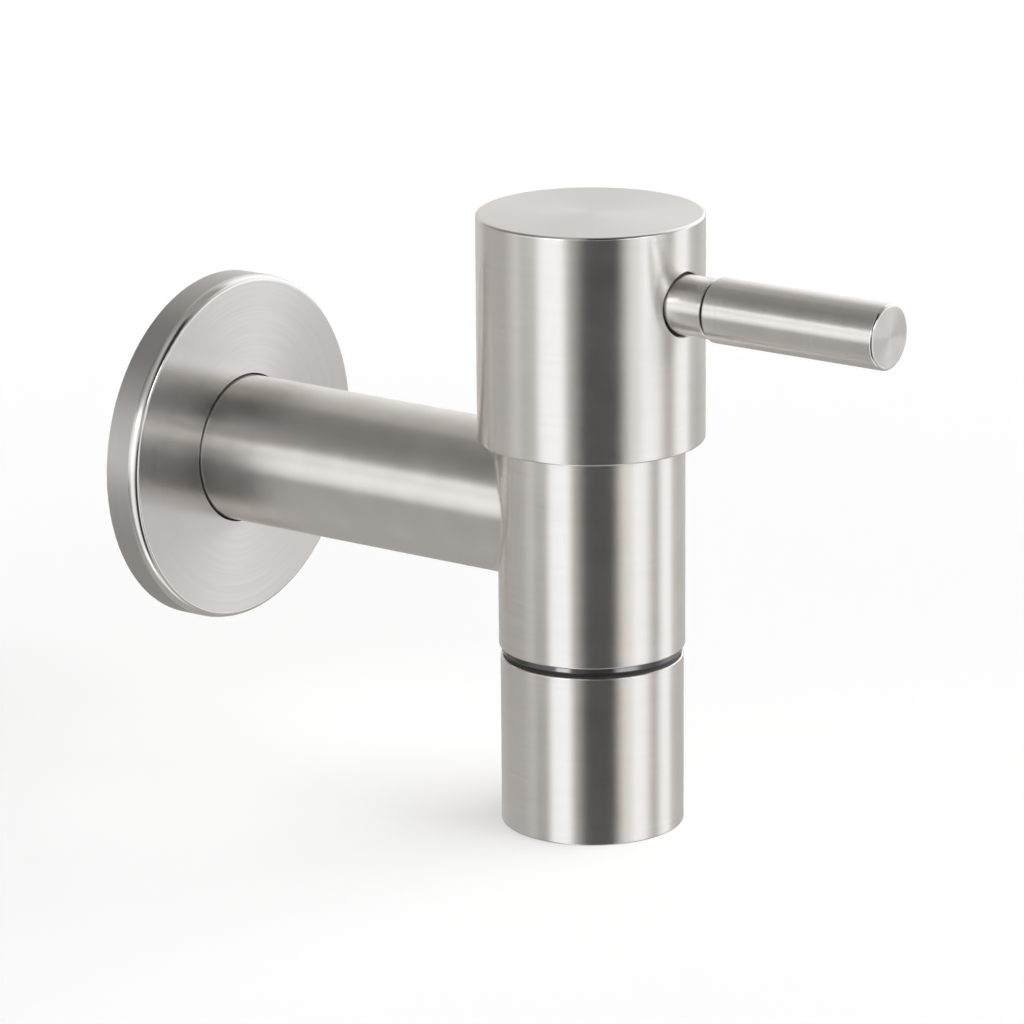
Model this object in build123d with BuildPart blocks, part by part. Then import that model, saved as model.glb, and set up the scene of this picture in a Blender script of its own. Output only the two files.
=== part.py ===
from build123d import *
import os
from math import asin, ceil, cos, degrees, pi, sin, sqrt

# Wall-mounted quarter-turn tap in brushed stainless steel.
# The wall is the plane y = 0 and lies on the +Y side. The arm reaches out along -Y, +Z is up,
# and the inlet axis is the Y axis. Sizes are in millimetres and angles in degrees.

# Fits between pieces
assembly_gap = 0.03          # pieces that are pushed or screwed together and stay so
running_gap = 0.05           # radial play of everything that turns or slides
film_gap = 0.02              # water film between faces that rub
edge_break = 0.25            # sharp edges taken off by the last pass of the tool
cutter_overrun = 1.0         # a cutter runs this far past what it cuts

# Arm
reach = 76.6                 # wall to the barrel's axis
arm_diameter = 24.4
arm_wall_gap = 1.0           # the arm stops just short of the wall
arm_bore_diameter = 15.0     # waterway
saddle_radius = 1.2          # weld dressed smooth where the arm meets the barrel

# Barrel
barrel_diameter = 30.0
barrel_top = 22.0            # above the inlet axis
barrel_foot = 21.7           # below the inlet axis
chamber_undercut = 1.05      # water chamber, wider than the thread above it
chamber_headroom = 2.2       # chamber above the cage's windows
seat_depth = 8.0             # seat below the inlet axis
seat_thickness = 4.0
seat_ledge = 0.2             # seat bared inside its seal
spigot_length = 11.5         # M24 x 1 outlet thread
spigot_wall = 2.45
spigot_relief_depth = 0.8
spigot_relief_length = 2.2

# Inlet nipple, G 1/2
inlet_thread_diameter = 20.94
inlet_thread_length = 12.0   # full thread beyond the wall
inlet_lead_in = 1.0
inlet_grip_length = 14.0     # thread inside the arm
inlet_relief_depth = 0.9
inlet_relief_length = 1.5
nipple_bore_diameter = 12.0
nipple_socket_width = 13.0   # across the flats of the key's socket
nipple_socket_depth = 7.0

# Wall flange
flange_diameter = 58.0
flange_thickness = 6.2
flange_face_wall = 1.8
flange_rim_wall = 2.6
flange_edge_radius = 1.2
flange_hub_wall = 3.6
flange_hole_gap = 0.3        # dark ring seen round the arm
flange_ring_section = 2.0
flange_ring_depth = 3.6      # ring's middle behind the front face

# Headwork thread and housing
headwork_thread_diameter = 20.9
headwork_flange_inset = 1.3  # flange inside the barrel's side
headwork_flange_height = 2.2
headwork_hex_width = 22.0
headwork_hex_height = 4.4
headwork_ring_section = 1.8
headwork_ring_neck = 0.35    # neck below the thread's crests that carries the ring
cage_thread_gap = 1.15       # cage inside the thread's crests
cage_wall = 1.2
cage_foot_gap = 0.6          # cage stands off the seat
window_count = 4
window_start_angle = 45.0
window_width = 7.5
window_height = 4.2
window_sill = 0.18           # window's foot above the upper disc
stop_lug_width = 3.4
stop_lug_reach = 1.75        # the lug stands in from the bore
stop_play_angle = 1.5

# Ceramic discs
lower_disc_thickness = 3.2
upper_disc_thickness = 3.2
disc_gap = 0.1               # radial play of the fixed disc in the cage
disc_port_inner_radius = 1.9
disc_rim = 1.6               # ceramic outside the ports
disc_port_angle = 76.0
disc_key_width = 2.9
disc_key_depth = 1.0
drive_slot_width = 4.2
drive_slot_depth = 1.5
seat_seal_width = 1.3
seat_seal_height = 3.0

# Spindle
stem_diameter = 10.0
collar_height = 1.7
thrust_washer_thickness = 0.4
stem_ring_section = 1.9
stem_ring_count = 2
stem_ring_depth = 11.0       # first ring below the headwork's top
stem_ring_spacing = 5.0
spline_tooth_count = 20
spline_shoulder = 1.0        # stem beyond the spline's tips
spline_tooth_height = 0.4
spline_length = 9.6
clip_thickness = 0.7
clip_groove_depth = 0.7
clip_width = 2.2
clip_opening = 4.4
screw_thread_diameter = 3.9
screw_length = 8.0
screw_bore_room = 2.0        # tapped hole beyond the screw's end
screw_head_diameter = 7.0
screw_head_height = 2.3
screw_head_round = 0.75
screw_recess_length = 3.5
screw_recess_width = 1.0
screw_recess_depth = 1.15
screw_recess_taper = 8.0

# Hub under the cap
hub_diameter = 20.0
hub_lift = 1.3               # hub above the headwork's hexagon
hub_web = 1.8
hub_top_rim = 1.0
hub_flat_depth = 1.3         # flat that the lever's neck is tightened against

# Handle cap
cap_overhang = 3.2           # cap's side beyond the barrel's
cap_arm_gap = 0.4            # cap's foot above the arm
cap_crown = 6.9              # cap's top above the hub
cap_skirt_wall = 1.6
cap_skirt_lap = 0.3          # skirt's bore runs up past the hub's foot
cap_pocket_gap = 3.5         # pocket round the screw's head
cap_pocket_headroom = 1.3    # pocket above the screw's head
cap_edge_radius = 0.5
glide_ring_height = 3.0
glide_groove_depth = 0.9
glide_ring_drop = 4.0        # below the barrel's top

# Lever
lever_lift = 6.8             # lever's axis above the hub's foot
neck_diameter = 9.6
neck_show = 5.7              # neck between the cap's side and the groove
neck_hole_gap = 0.35         # dark ring seen round the neck
lever_groove_width = 0.6
lever_groove_depth = 0.5
grip_diameter = 10.4
grip_length = 31.3
grip_tip_chamfer = 0.45
lever_stud_diameter = 5.9
lever_stud_hub_depth = 3.4   # stud in the hub, behind the flat
lever_stud_neck_depth = 8.8  # stud in the neck
neck_tail_diameter = 5.9
neck_tail_length = 11.0
neck_tail_room = 1.0         # hole in the grip beyond the tail
handle_turn_angle = 90.0

# Nozzle
nozzle_ring_height = 1.6
nozzle_ring_recess = 0.1     # the ring lies just inside the nozzle's side
nozzle_ring_bead_radius = 0.45
nozzle_ring_neck_inset = 0.7  # neck below the bead, in its shadow
nozzle_inset = 0.25          # nozzle's side inside the barrel's
nozzle_wall = 2.75           # sleeve round its thread
nozzle_height = 28.0
nozzle_lip_height = 1.2
nozzle_lip_width = 1.3
nozzle_shoulder_width = 1.05
aerator_wall = 1.2
aerator_washer_width = 3.3
aerator_washer_height = 1.78
jet_plate_thickness = 2.0
jet_plate_depth = 1.2        # below the housing's top
jet_hole_diameter = 1.2
jet_ring_counts = (6, 12, 18)
jet_rim = 1.6                # plate outside the last ring of holes
screen_count = 2
screen_thickness = 0.35
screen_depth = 6.0           # first screen below the housing's top
screen_spacing = 1.6
screen_pitch = 1.6
screen_mesh_opening = 0.8
screen_mesh_count = 7
grid_thickness = 2.4
grid_cell = 1.5
grid_pitch = 2.1

# Sizes that follow from the ones above
arm_radius = arm_diameter / 2
barrel_radius = barrel_diameter / 2
nozzle_radius = barrel_radius - nozzle_inset
nozzle_ring_radius = nozzle_radius - nozzle_ring_recess
spigot_radius = nozzle_radius - nozzle_wall - running_gap
outlet_bore_radius = spigot_radius - spigot_wall
aerator_radius = spigot_radius - nozzle_shoulder_width
aerator_inner_radius = aerator_radius - aerator_wall
inlet_thread_radius = inlet_thread_diameter / 2
flange_radius = flange_diameter / 2
flange_hole_radius = arm_radius + flange_hole_gap
headwork_thread_radius = headwork_thread_diameter / 2
headwork_ring_radius = headwork_thread_radius - headwork_ring_neck
chamber_radius = headwork_thread_radius + chamber_undercut
cage_radius = headwork_thread_radius - cage_thread_gap
cage_bore_radius = cage_radius - cage_wall
disc_radius = cage_bore_radius - disc_gap
disc_port_outer_radius = disc_radius - disc_rim
seat_seal_inner_radius = disc_radius - seat_seal_width
stem_radius = stem_diameter / 2
spline_tip_radius = stem_radius - spline_shoulder
spline_root_radius = spline_tip_radius - spline_tooth_height
clip_groove_radius = stem_radius - clip_groove_depth
hub_radius = hub_diameter / 2
cap_radius = barrel_radius + cap_overhang
cap_skirt_radius = cap_radius - cap_skirt_wall
cap_pocket_radius = screw_head_diameter / 2 + cap_pocket_gap
neck_radius = neck_diameter / 2
grip_radius = grip_diameter / 2

# Levels on the barrel's axis, above the inlet axis
cage_foot = cage_foot_gap - seat_depth
lower_disc_foot = seat_seal_height - seat_depth
lower_disc_top = lower_disc_foot + lower_disc_thickness
upper_disc_foot = lower_disc_top + film_gap
upper_disc_top = upper_disc_foot + upper_disc_thickness
window_foot = upper_disc_top + window_sill
window_top = window_foot + window_height
chamber_top = window_top + chamber_headroom
collar_foot = window_top + film_gap
collar_top = collar_foot + collar_height
washer_foot = collar_top + film_gap
thrust_shoulder = washer_foot + thrust_washer_thickness
hex_foot = barrel_top + headwork_flange_height
headwork_top = hex_foot + headwork_hex_height
stem_ring_levels = [
    headwork_top - stem_ring_depth - index * stem_ring_spacing for index in range(stem_ring_count)
]
clip_foot = headwork_top + film_gap
hub_foot = headwork_top + hub_lift
spline_top = hub_foot + spline_length
hub_web_top = spline_top + hub_web
hub_top = hub_web_top + hub_top_rim
lever_height = hub_foot + lever_lift
cap_foot = arm_radius + cap_arm_gap
cap_top = hub_top + cap_crown
cap_skirt_top = hub_foot + cap_skirt_lap
cap_pocket_top = hub_web_top + screw_head_height + cap_pocket_headroom
spigot_foot = -barrel_foot - spigot_length
nozzle_top = -barrel_foot - nozzle_ring_height
nozzle_foot = nozzle_top - nozzle_height
nozzle_shoulder = spigot_foot - film_gap - aerator_washer_height
aerator_foot = nozzle_foot + nozzle_lip_height

# Distances from the barrel's axis along the lever
neck_start = hub_radius - hub_flat_depth
neck_end = cap_radius + neck_show
grip_start = neck_end + lever_groove_width
lever_stud_start = neck_start - lever_stud_hub_depth
lever_stud_end = neck_start + lever_stud_neck_depth

# Axes
inlet_axis = Axis((0, 0, 0), (0, 1, 0))
barrel_axis = Axis((0, -reach, 0), (0, 0, 1))


def out_from_wall(distance):
    """Plane across the inlet axis, facing the room."""
    return Plane.XZ.offset(distance)


def level(height):
    """Plane across the barrel's axis, facing up."""
    return Plane((0, -reach, height))


def along_lever(distance):
    """Plane across the lever's axis, facing the lever's tip."""
    return Plane(origin=(0, -reach - distance, lever_height), x_dir=(1, 0, 0), z_dir=(0, -1, 0))


# Half sections: the first coordinate runs along the inlet axis or away from the barrel's axis
inlet_section = Plane(origin=(0, 0, 0), x_dir=(0, -1, 0), z_dir=(-1, 0, 0))
barrel_section = Plane(origin=(0, -reach, 0), x_dir=(1, 0, 0), z_dir=(0, -1, 0))


def round_stock(plane, radius, length, mode=Mode.ADD):
    """Solid cylinder, or a plain bore, standing on a plane of the part in hand."""
    with BuildSketch(plane) as section:
        Circle(radius)
    extrude(section.sketch, amount=length, mode=mode)


def bore(plane, radius, depth):
    """Plain round hole sunk behind a plane of the part in hand."""
    round_stock(plane, radius, -depth, Mode.SUBTRACT)


def ring_stock(plane, outer_radius, inner_radius, length, mode=Mode.ADD):
    """Tube, or a turned groove, standing on a plane of the part in hand."""
    with BuildSketch(plane) as section:
        Circle(outer_radius)
        Circle(inner_radius, mode=Mode.SUBTRACT)
    extrude(section.sketch, amount=length, mode=mode)


def hex_stock(plane, width, length, mode=Mode.ADD):
    """Hexagon of a given width across its flats."""
    with BuildSketch(plane) as section:
        RegularPolygon(width / 2, 6, major_radius=False)
    extrude(section.sketch, amount=length, mode=mode)


def round_ring(section_plane, axis, along, radius, section_diameter):
    """Ring of round section: its middle lies at a given place and radius."""
    with BuildSketch(section_plane) as section:
        with Locations((along, radius)):
            Circle(section_diameter / 2)
    revolve(section.sketch, axis=axis)


def sector(inner_radius, outer_radius, start_angle, arc_angle, mode=Mode.ADD):
    """Ring sector drawn in the sketch in hand."""
    with BuildLine() as outline:
        outer = CenterArc((0, 0), outer_radius, start_angle, arc_angle)
        inner = CenterArc((0, 0), inner_radius, start_angle, arc_angle)
        Line(outer @ 0, inner @ 0)
        Line(outer @ 1, inner @ 1)
    make_face(outline.edges(), mode=mode)


def spline_outline(tip_radius, root_radius):
    """Toothed outline of the spline drawn in the sketch in hand."""
    points = []
    for index in range(2 * spline_tooth_count):
        radius = tip_radius if index % 2 == 0 else root_radius
        angle = pi * index / spline_tooth_count
        points.append((radius * cos(angle), radius * sin(angle)))
    with BuildLine() as outline:
        Polyline(*points, close=True)
    make_face(outline.edges())


# Body: the arm and the barrel are welded, dressed smooth and bored as one piece
with BuildPart() as tap_body:
    round_stock(out_from_wall(arm_wall_gap), arm_radius, reach - arm_wall_gap)
    round_stock(level(-barrel_foot), barrel_radius, barrel_foot + barrel_top)
    saddle = [
        edge
        for edge in tap_body.edges()
        if edge.geom_type not in (GeomType.CIRCLE, GeomType.LINE)
    ]
    fillet(saddle, saddle_radius)
    chamfer(tap_body.edges().filter_by(GeomType.CIRCLE).group_by(Axis.Z)[0], edge_break)
    round_stock(level(-barrel_foot), spigot_radius, -spigot_length)
    ring_stock(
        level(-barrel_foot),
        spigot_radius + assembly_gap,
        spigot_radius - spigot_relief_depth,
        -spigot_relief_length,
        Mode.SUBTRACT,
    )
    # waterway from the wall to the chamber
    round_stock(out_from_wall(arm_wall_gap), arm_bore_diameter / 2, reach - arm_wall_gap, Mode.SUBTRACT)
    round_stock(
        out_from_wall(arm_wall_gap),
        inlet_thread_radius + assembly_gap,
        inlet_grip_length - arm_wall_gap + cutter_overrun,
        Mode.SUBTRACT,
    )
    # barrel bored from the top down to the seat, then through the seat to the outlet
    bore(level(barrel_top), headwork_thread_radius + assembly_gap, barrel_top + seat_depth)
    bore(level(chamber_top), chamber_radius, chamber_top + seat_depth)
    bore(level(-seat_depth), seat_seal_inner_radius - seat_ledge, seat_thickness)
    bore(
        level(-seat_depth - seat_thickness),
        outlet_bore_radius,
        barrel_foot + spigot_length - seat_depth - seat_thickness,
    )
    # recess for the headwork's ring and groove for the glide ring
    bore(
        level(barrel_top),
        headwork_ring_radius + headwork_ring_section + 2 * assembly_gap,
        headwork_ring_section,
    )
    ring_stock(
        level(barrel_top - glide_ring_drop),
        barrel_radius + assembly_gap,
        barrel_radius - glide_groove_depth,
        -glide_ring_height,
        Mode.SUBTRACT,
    )

# Inlet nipple: pipe thread at both ends, a relief between them and a socket for the key
with BuildPart() as inlet_nipple:
    nipple_length = inlet_grip_length + inlet_thread_length + inlet_lead_in
    round_stock(out_from_wall(inlet_grip_length), inlet_thread_radius, -nipple_length)
    chamfer(inlet_nipple.edges().group_by(Axis.Y)[-1], inlet_lead_in)
    chamfer(inlet_nipple.edges().group_by(Axis.Y)[0], edge_break)
    ring_stock(
        out_from_wall(0),
        inlet_thread_radius + assembly_gap,
        inlet_thread_radius - inlet_relief_depth,
        inlet_relief_length,
        Mode.SUBTRACT,
    )
    round_stock(
        out_from_wall(inlet_grip_length), nipple_bore_diameter / 2, -nipple_length, Mode.SUBTRACT
    )
    hex_stock(
        out_from_wall(-inlet_thread_length - inlet_lead_in),
        nipple_socket_width,
        nipple_socket_depth,
        Mode.SUBTRACT,
    )

# Wall flange: turned shell with a recessed back and a hub that carries a sealing ring
flange_ring_middle = flange_thickness - flange_ring_depth
flange_ring_radius = arm_radius + running_gap + flange_ring_section / 2
with BuildPart() as wall_flange:
    round_stock(out_from_wall(0), flange_radius, flange_thickness)
    fillet(wall_flange.edges().group_by(Axis.Y)[0], flange_edge_radius)
    ring_stock(
        out_from_wall(0),
        flange_radius - flange_rim_wall,
        flange_hole_radius + flange_hub_wall,
        flange_thickness - flange_face_wall,
        Mode.SUBTRACT,
    )
    round_stock(out_from_wall(0), flange_hole_radius, flange_thickness, Mode.SUBTRACT)
    groove_width = flange_ring_section + 2 * running_gap
    ring_stock(
        out_from_wall(flange_ring_middle - groove_width / 2),
        flange_ring_radius + flange_ring_section / 2 + running_gap,
        flange_hole_radius - running_gap,
        groove_width,
        Mode.SUBTRACT,
    )

with BuildPart() as flange_o_ring:
    round_ring(inlet_section, inlet_axis, flange_ring_middle, flange_ring_radius, flange_ring_section)

# Headwork housing: cage with windows, thread, flange, hexagon and the stem's bore
lug_bore_radius = cage_bore_radius - stop_lug_reach
with BuildPart() as headwork_body:
    round_stock(level(cage_foot), cage_radius, chamber_top - cage_foot)
    round_stock(level(chamber_top), headwork_thread_radius, barrel_top - chamber_top)
    ring_stock(
        level(barrel_top),
        headwork_thread_radius + assembly_gap,
        headwork_ring_radius - assembly_gap,
        -headwork_ring_section,
        Mode.SUBTRACT,
    )
    round_stock(level(barrel_top), barrel_radius - headwork_flange_inset, headwork_flange_height)
    hex_stock(level(hex_foot), headwork_hex_width, headwork_hex_height)
    chamfer(headwork_body.edges().group_by(Axis.Z)[-1], edge_break)
    bore(level(thrust_shoulder), cage_bore_radius, thrust_shoulder - cage_foot)
    bore(level(headwork_top), stem_radius + running_gap, headwork_top - thrust_shoulder)
    # windows that let the water into the cage
    with BuildSketch(level(window_foot)) as windows:
        with PolarLocations(cage_radius, window_count, start_angle=window_start_angle):
            Rectangle(2 * (cage_radius - cage_bore_radius), window_width)
    extrude(windows.sketch, amount=window_height, mode=Mode.SUBTRACT)
    # two keys that hold the lower disc, and the lug that stops the spindle
    with BuildSketch(level(lower_disc_foot)) as keys:
        with PolarLocations(cage_bore_radius, 2):
            Rectangle(2 * disc_key_depth, disc_key_width - 2 * disc_gap)
        Circle(cage_radius, mode=Mode.INTERSECT)
    extrude(keys.sketch, amount=lower_disc_thickness)
    with BuildSketch(level(collar_foot)) as lug:
        with Locations((0, -cage_bore_radius)):
            Rectangle(stop_lug_width, 2 * stop_lug_reach)
        Circle(cage_radius, mode=Mode.INTERSECT)
    extrude(lug.sketch, amount=collar_height)

with BuildPart() as headwork_o_ring:
    round_ring(
        barrel_section,
        barrel_axis,
        headwork_ring_radius + headwork_ring_section / 2,
        barrel_top - headwork_ring_section / 2,
        headwork_ring_section - assembly_gap,
    )

# Ceramic discs: two ports each; a quarter turn lines them up
with BuildPart() as ceramic_disc_lower:
    with BuildSketch(level(lower_disc_foot)) as plate:
        Circle(disc_radius)
        with PolarLocations(cage_bore_radius, 2):
            Rectangle(2 * disc_key_depth + 2 * disc_gap, disc_key_width, mode=Mode.SUBTRACT)
        for side_angle in (90, 270):
            sector(
                disc_port_inner_radius,
                disc_port_outer_radius,
                side_angle - disc_port_angle / 2,
                disc_port_angle,
                Mode.SUBTRACT,
            )
    extrude(plate.sketch, amount=lower_disc_thickness)

with BuildPart() as ceramic_disc_upper:
    with BuildSketch(level(upper_disc_foot)) as plate:
        Circle(disc_radius)
        for side_angle in (0, 180):
            sector(
                disc_port_inner_radius,
                disc_port_outer_radius,
                side_angle - disc_port_angle / 2,
                disc_port_angle,
                Mode.SUBTRACT,
            )
    extrude(plate.sketch, amount=upper_disc_thickness)
    with BuildSketch(level(upper_disc_top)) as slot:
        Rectangle(drive_slot_width, 2 * disc_radius)
    extrude(slot.sketch, amount=-drive_slot_depth, mode=Mode.SUBTRACT)

with BuildPart() as seat_seal:
    ring_stock(level(-seat_depth), disc_radius, seat_seal_inner_radius, seat_seal_height)

# Spindle: fork in the upper disc, collar with its stop, sealed stem and spline
collar_radius = cage_bore_radius - 2 * running_gap
stop_half_angle = degrees(asin(stop_lug_width / 2 / lug_bore_radius)) + stop_play_angle
with BuildPart() as spindle:
    with BuildSketch(level(upper_disc_top - drive_slot_depth + film_gap)) as fork:
        Rectangle(drive_slot_width - 2 * running_gap, 2 * collar_radius)
        Circle(collar_radius, mode=Mode.INTERSECT)
    extrude(fork.sketch, amount=collar_foot - upper_disc_top + drive_slot_depth - film_gap)
    with BuildSketch(level(collar_foot)) as collar:
        Circle(collar_radius)
        sector(
            lug_bore_radius - 2 * running_gap,
            collar_radius + cutter_overrun,
            270 + stop_half_angle - handle_turn_angle - 2 * stop_half_angle,
            handle_turn_angle + 2 * stop_half_angle,
            Mode.SUBTRACT,
        )
    extrude(collar.sketch, amount=collar_height)
    round_stock(level(collar_top), stem_radius, hub_foot - collar_top)
    for ring_level in stem_ring_levels:
        ring_stock(
            level(ring_level - stem_ring_section / 2 - running_gap),
            stem_radius + assembly_gap,
            stem_radius - stem_ring_section + 2 * running_gap,
            stem_ring_section + 2 * running_gap,
            Mode.SUBTRACT,
        )
    ring_stock(
        level(clip_foot - film_gap),
        stem_radius + assembly_gap,
        clip_groove_radius,
        clip_thickness + 2 * film_gap,
        Mode.SUBTRACT,
    )
    with BuildSketch(level(hub_foot)) as teeth:
        spline_outline(spline_tip_radius, spline_root_radius)
    extrude(teeth.sketch, amount=spline_length - film_gap)
    bore(
        level(spline_top),
        screw_thread_diameter / 2 + assembly_gap,
        screw_length - hub_web + screw_bore_room,
    )

with BuildPart() as spindle_o_rings:
    for ring_level in stem_ring_levels:
        round_ring(
            barrel_section,
            barrel_axis,
            stem_radius + running_gap - stem_ring_section / 2,
            ring_level,
            stem_ring_section - 2 * running_gap,
        )

with BuildPart() as thrust_washer:
    ring_stock(
        level(washer_foot),
        collar_radius - running_gap,
        stem_radius + running_gap,
        thrust_washer_thickness,
    )

with BuildPart() as spindle_clip:
    with BuildSketch(level(clip_foot)) as clip:
        Circle(clip_groove_radius + clip_width)
        Circle(clip_groove_radius + assembly_gap, mode=Mode.SUBTRACT)
        with Locations((clip_groove_radius + clip_width, 0)):
            Rectangle(2 * (clip_groove_radius + clip_width), clip_opening, mode=Mode.SUBTRACT)
    extrude(clip.sketch, amount=clip_thickness)

# Hub: splined to the spindle, held by a screw, with a tapped hole for the lever's stud
with BuildPart() as handle_hub:
    round_stock(level(hub_foot), hub_radius, hub_top - hub_foot)
    chamfer(handle_hub.edges().group_by(Axis.Z)[0], edge_break)
    with BuildSketch(level(hub_foot)) as teeth:
        spline_outline(spline_tip_radius + assembly_gap, spline_root_radius + assembly_gap)
    extrude(teeth.sketch, amount=spline_length, mode=Mode.SUBTRACT)
    bore(level(hub_top), cap_pocket_radius, hub_top_rim)
    bore(level(hub_web_top), screw_thread_diameter / 2 + 2 * running_gap, hub_web)
    bore(along_lever(hub_radius), neck_radius + 2 * running_gap, hub_flat_depth)
    bore(
        along_lever(hub_radius),
        lever_stud_diameter / 2 + assembly_gap,
        hub_radius - lever_stud_start + assembly_gap,
    )

with BuildPart() as hub_screw:
    round_stock(level(hub_web_top), screw_head_diameter / 2, screw_head_height)
    fillet(hub_screw.edges().group_by(Axis.Z)[-1], screw_head_round)
    round_stock(level(hub_web_top), screw_thread_diameter / 2, -screw_length)
    # cross recess for the driver
    with BuildSketch(level(hub_web_top + screw_head_height)) as recess:
        Rectangle(screw_recess_length, screw_recess_width)
        Rectangle(screw_recess_width, screw_recess_length)
    extrude(
        recess.sketch, amount=-screw_recess_depth, taper=screw_recess_taper, mode=Mode.SUBTRACT
    )

# Handle cap: turned from bar, with a wide skirt bore and a pocket that sits on the hub
with BuildPart() as handle_cap:
    round_stock(level(cap_foot), cap_radius, cap_top - cap_foot)
    fillet(handle_cap.edges().group_by(Axis.Z)[-1], cap_edge_radius)
    chamfer(handle_cap.edges().group_by(Axis.Z)[0], edge_break)
    round_stock(level(cap_foot), cap_skirt_radius, cap_skirt_top - cap_foot, Mode.SUBTRACT)
    round_stock(level(cap_foot), hub_radius + assembly_gap, hub_top - cap_foot, Mode.SUBTRACT)
    round_stock(level(hub_top), cap_pocket_radius, cap_pocket_top - hub_top, Mode.SUBTRACT)
    round_stock(along_lever(0), neck_radius + neck_hole_gap, cap_radius, Mode.SUBTRACT)

with BuildPart() as cap_glide_ring:
    ring_stock(
        level(barrel_top - glide_ring_drop - film_gap),
        cap_skirt_radius - running_gap,
        barrel_radius - glide_groove_depth + assembly_gap,
        -glide_ring_height + 2 * film_gap,
    )

# Lever: stud, neck and grip in line
with BuildPart() as lever_stud:
    round_stock(along_lever(lever_stud_start), lever_stud_diameter / 2, lever_stud_end - lever_stud_start)
    chamfer(lever_stud.edges().filter_by(GeomType.CIRCLE), edge_break)

with BuildPart() as lever_neck:
    round_stock(along_lever(neck_start), neck_radius, neck_end - neck_start)
    chamfer(lever_neck.edges().group_by(Axis.Y)[0], edge_break)
    round_stock(along_lever(neck_end), neck_radius - lever_groove_depth, lever_groove_width)
    round_stock(along_lever(grip_start), neck_tail_diameter / 2, neck_tail_length)
    chamfer(lever_neck.edges().group_by(Axis.Y)[0], edge_break)
    round_stock(
        along_lever(neck_start),
        lever_stud_diameter / 2 + assembly_gap,
        lever_stud_end - neck_start + assembly_gap,
        Mode.SUBTRACT,
    )

with BuildPart() as lever_grip:
    round_stock(along_lever(grip_start), grip_radius, grip_length)
    chamfer(lever_grip.edges().group_by(Axis.Y)[0], grip_tip_chamfer)
    chamfer(lever_grip.edges().group_by(Axis.Y)[-1], edge_break)
    round_stock(
        along_lever(grip_start),
        neck_tail_diameter / 2 + assembly_gap,
        neck_tail_length + neck_tail_room,
        Mode.SUBTRACT,
    )

# Sealing ring between the barrel and the nozzle: a round bead over a narrower neck
with BuildPart() as nozzle_ring:
    with BuildSketch(barrel_section) as section:
        ring_inner = spigot_radius - spigot_relief_depth + assembly_gap
        bead_centre = nozzle_ring_radius - nozzle_ring_bead_radius
        bead_middle = -barrel_foot - film_gap - nozzle_ring_bead_radius
        with Locations((bead_centre, bead_middle)):
            Circle(nozzle_ring_bead_radius)
        with Locations(((ring_inner + bead_centre) / 2, bead_middle)):
            Rectangle(bead_centre - ring_inner, 2 * nozzle_ring_bead_radius)
        ring_neck_radius = nozzle_ring_radius - nozzle_ring_neck_inset
        with Locations(((ring_inner + ring_neck_radius) / 2, -barrel_foot - nozzle_ring_height / 2)):
            Rectangle(ring_neck_radius - ring_inner, nozzle_ring_height - 2 * film_gap)
    revolve(section.sketch, axis=barrel_axis)

# Nozzle sleeve: screwed over the spigot, with a shoulder above the aerator and a lip below it
with BuildPart() as nozzle_sleeve:
    round_stock(level(nozzle_foot), nozzle_radius, nozzle_height)
    chamfer(nozzle_sleeve.edges().filter_by(GeomType.CIRCLE), edge_break)
    bore(level(nozzle_top), nozzle_radius - nozzle_wall, nozzle_top - nozzle_shoulder)
    bore(level(nozzle_shoulder), aerator_radius + assembly_gap, nozzle_shoulder - aerator_foot)
    bore(level(aerator_foot), aerator_radius - nozzle_lip_width, nozzle_lip_height)

with BuildPart() as aerator_washer:
    ring_stock(
        level(nozzle_shoulder),
        spigot_radius - running_gap,
        spigot_radius - running_gap - aerator_washer_width,
        aerator_washer_height,
    )

# Aerator: housing, jet plate, two screens and the grid at the mouth
with BuildPart() as aerator_housing:
    ring_stock(
        level(aerator_foot), aerator_radius, aerator_inner_radius, nozzle_shoulder - aerator_foot
    )

jet_ring_pitch = (aerator_inner_radius - jet_rim) / len(jet_ring_counts)
with BuildPart() as aerator_jet_plate:
    with BuildSketch(level(nozzle_shoulder - jet_plate_depth)) as plate:
        Circle(aerator_inner_radius - assembly_gap)
        for ring_index, hole_count in enumerate(jet_ring_counts, start=1):
            with PolarLocations(ring_index * jet_ring_pitch, hole_count):
                RegularPolygon(jet_hole_diameter / 2, 6, mode=Mode.SUBTRACT)
    extrude(plate.sketch, amount=-jet_plate_thickness)

with BuildPart() as aerator_screens:
    for screen_index in range(screen_count):
        screen_level = nozzle_shoulder - screen_depth - screen_index * screen_spacing
        with BuildSketch(level(screen_level)) as screen:
            Circle(aerator_inner_radius - assembly_gap)
            with GridLocations(screen_pitch, screen_pitch, screen_mesh_count, screen_mesh_count):
                Rectangle(screen_mesh_opening, screen_mesh_opening, mode=Mode.SUBTRACT)
        extrude(screen.sketch, amount=-screen_thickness)

with BuildPart() as aerator_grid:
    with BuildSketch(level(aerator_foot + film_gap)) as plate:
        Circle(aerator_inner_radius - assembly_gap)
        cell_reach = aerator_inner_radius - grid_pitch / 2
        cell_count = 2 * ceil(aerator_inner_radius / grid_pitch) + 1
        for column in range(cell_count):
            for row in range(cell_count):
                x = (column - cell_count // 2) * grid_pitch
                y = (row - cell_count // 2) * grid_pitch
                if sqrt(x**2 + y**2) + grid_cell / sqrt(2) < cell_reach:
                    with Locations((x, y)):
                        Rectangle(grid_cell, grid_cell, mode=Mode.SUBTRACT)
    extrude(plate.sketch, amount=grid_thickness)

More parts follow.
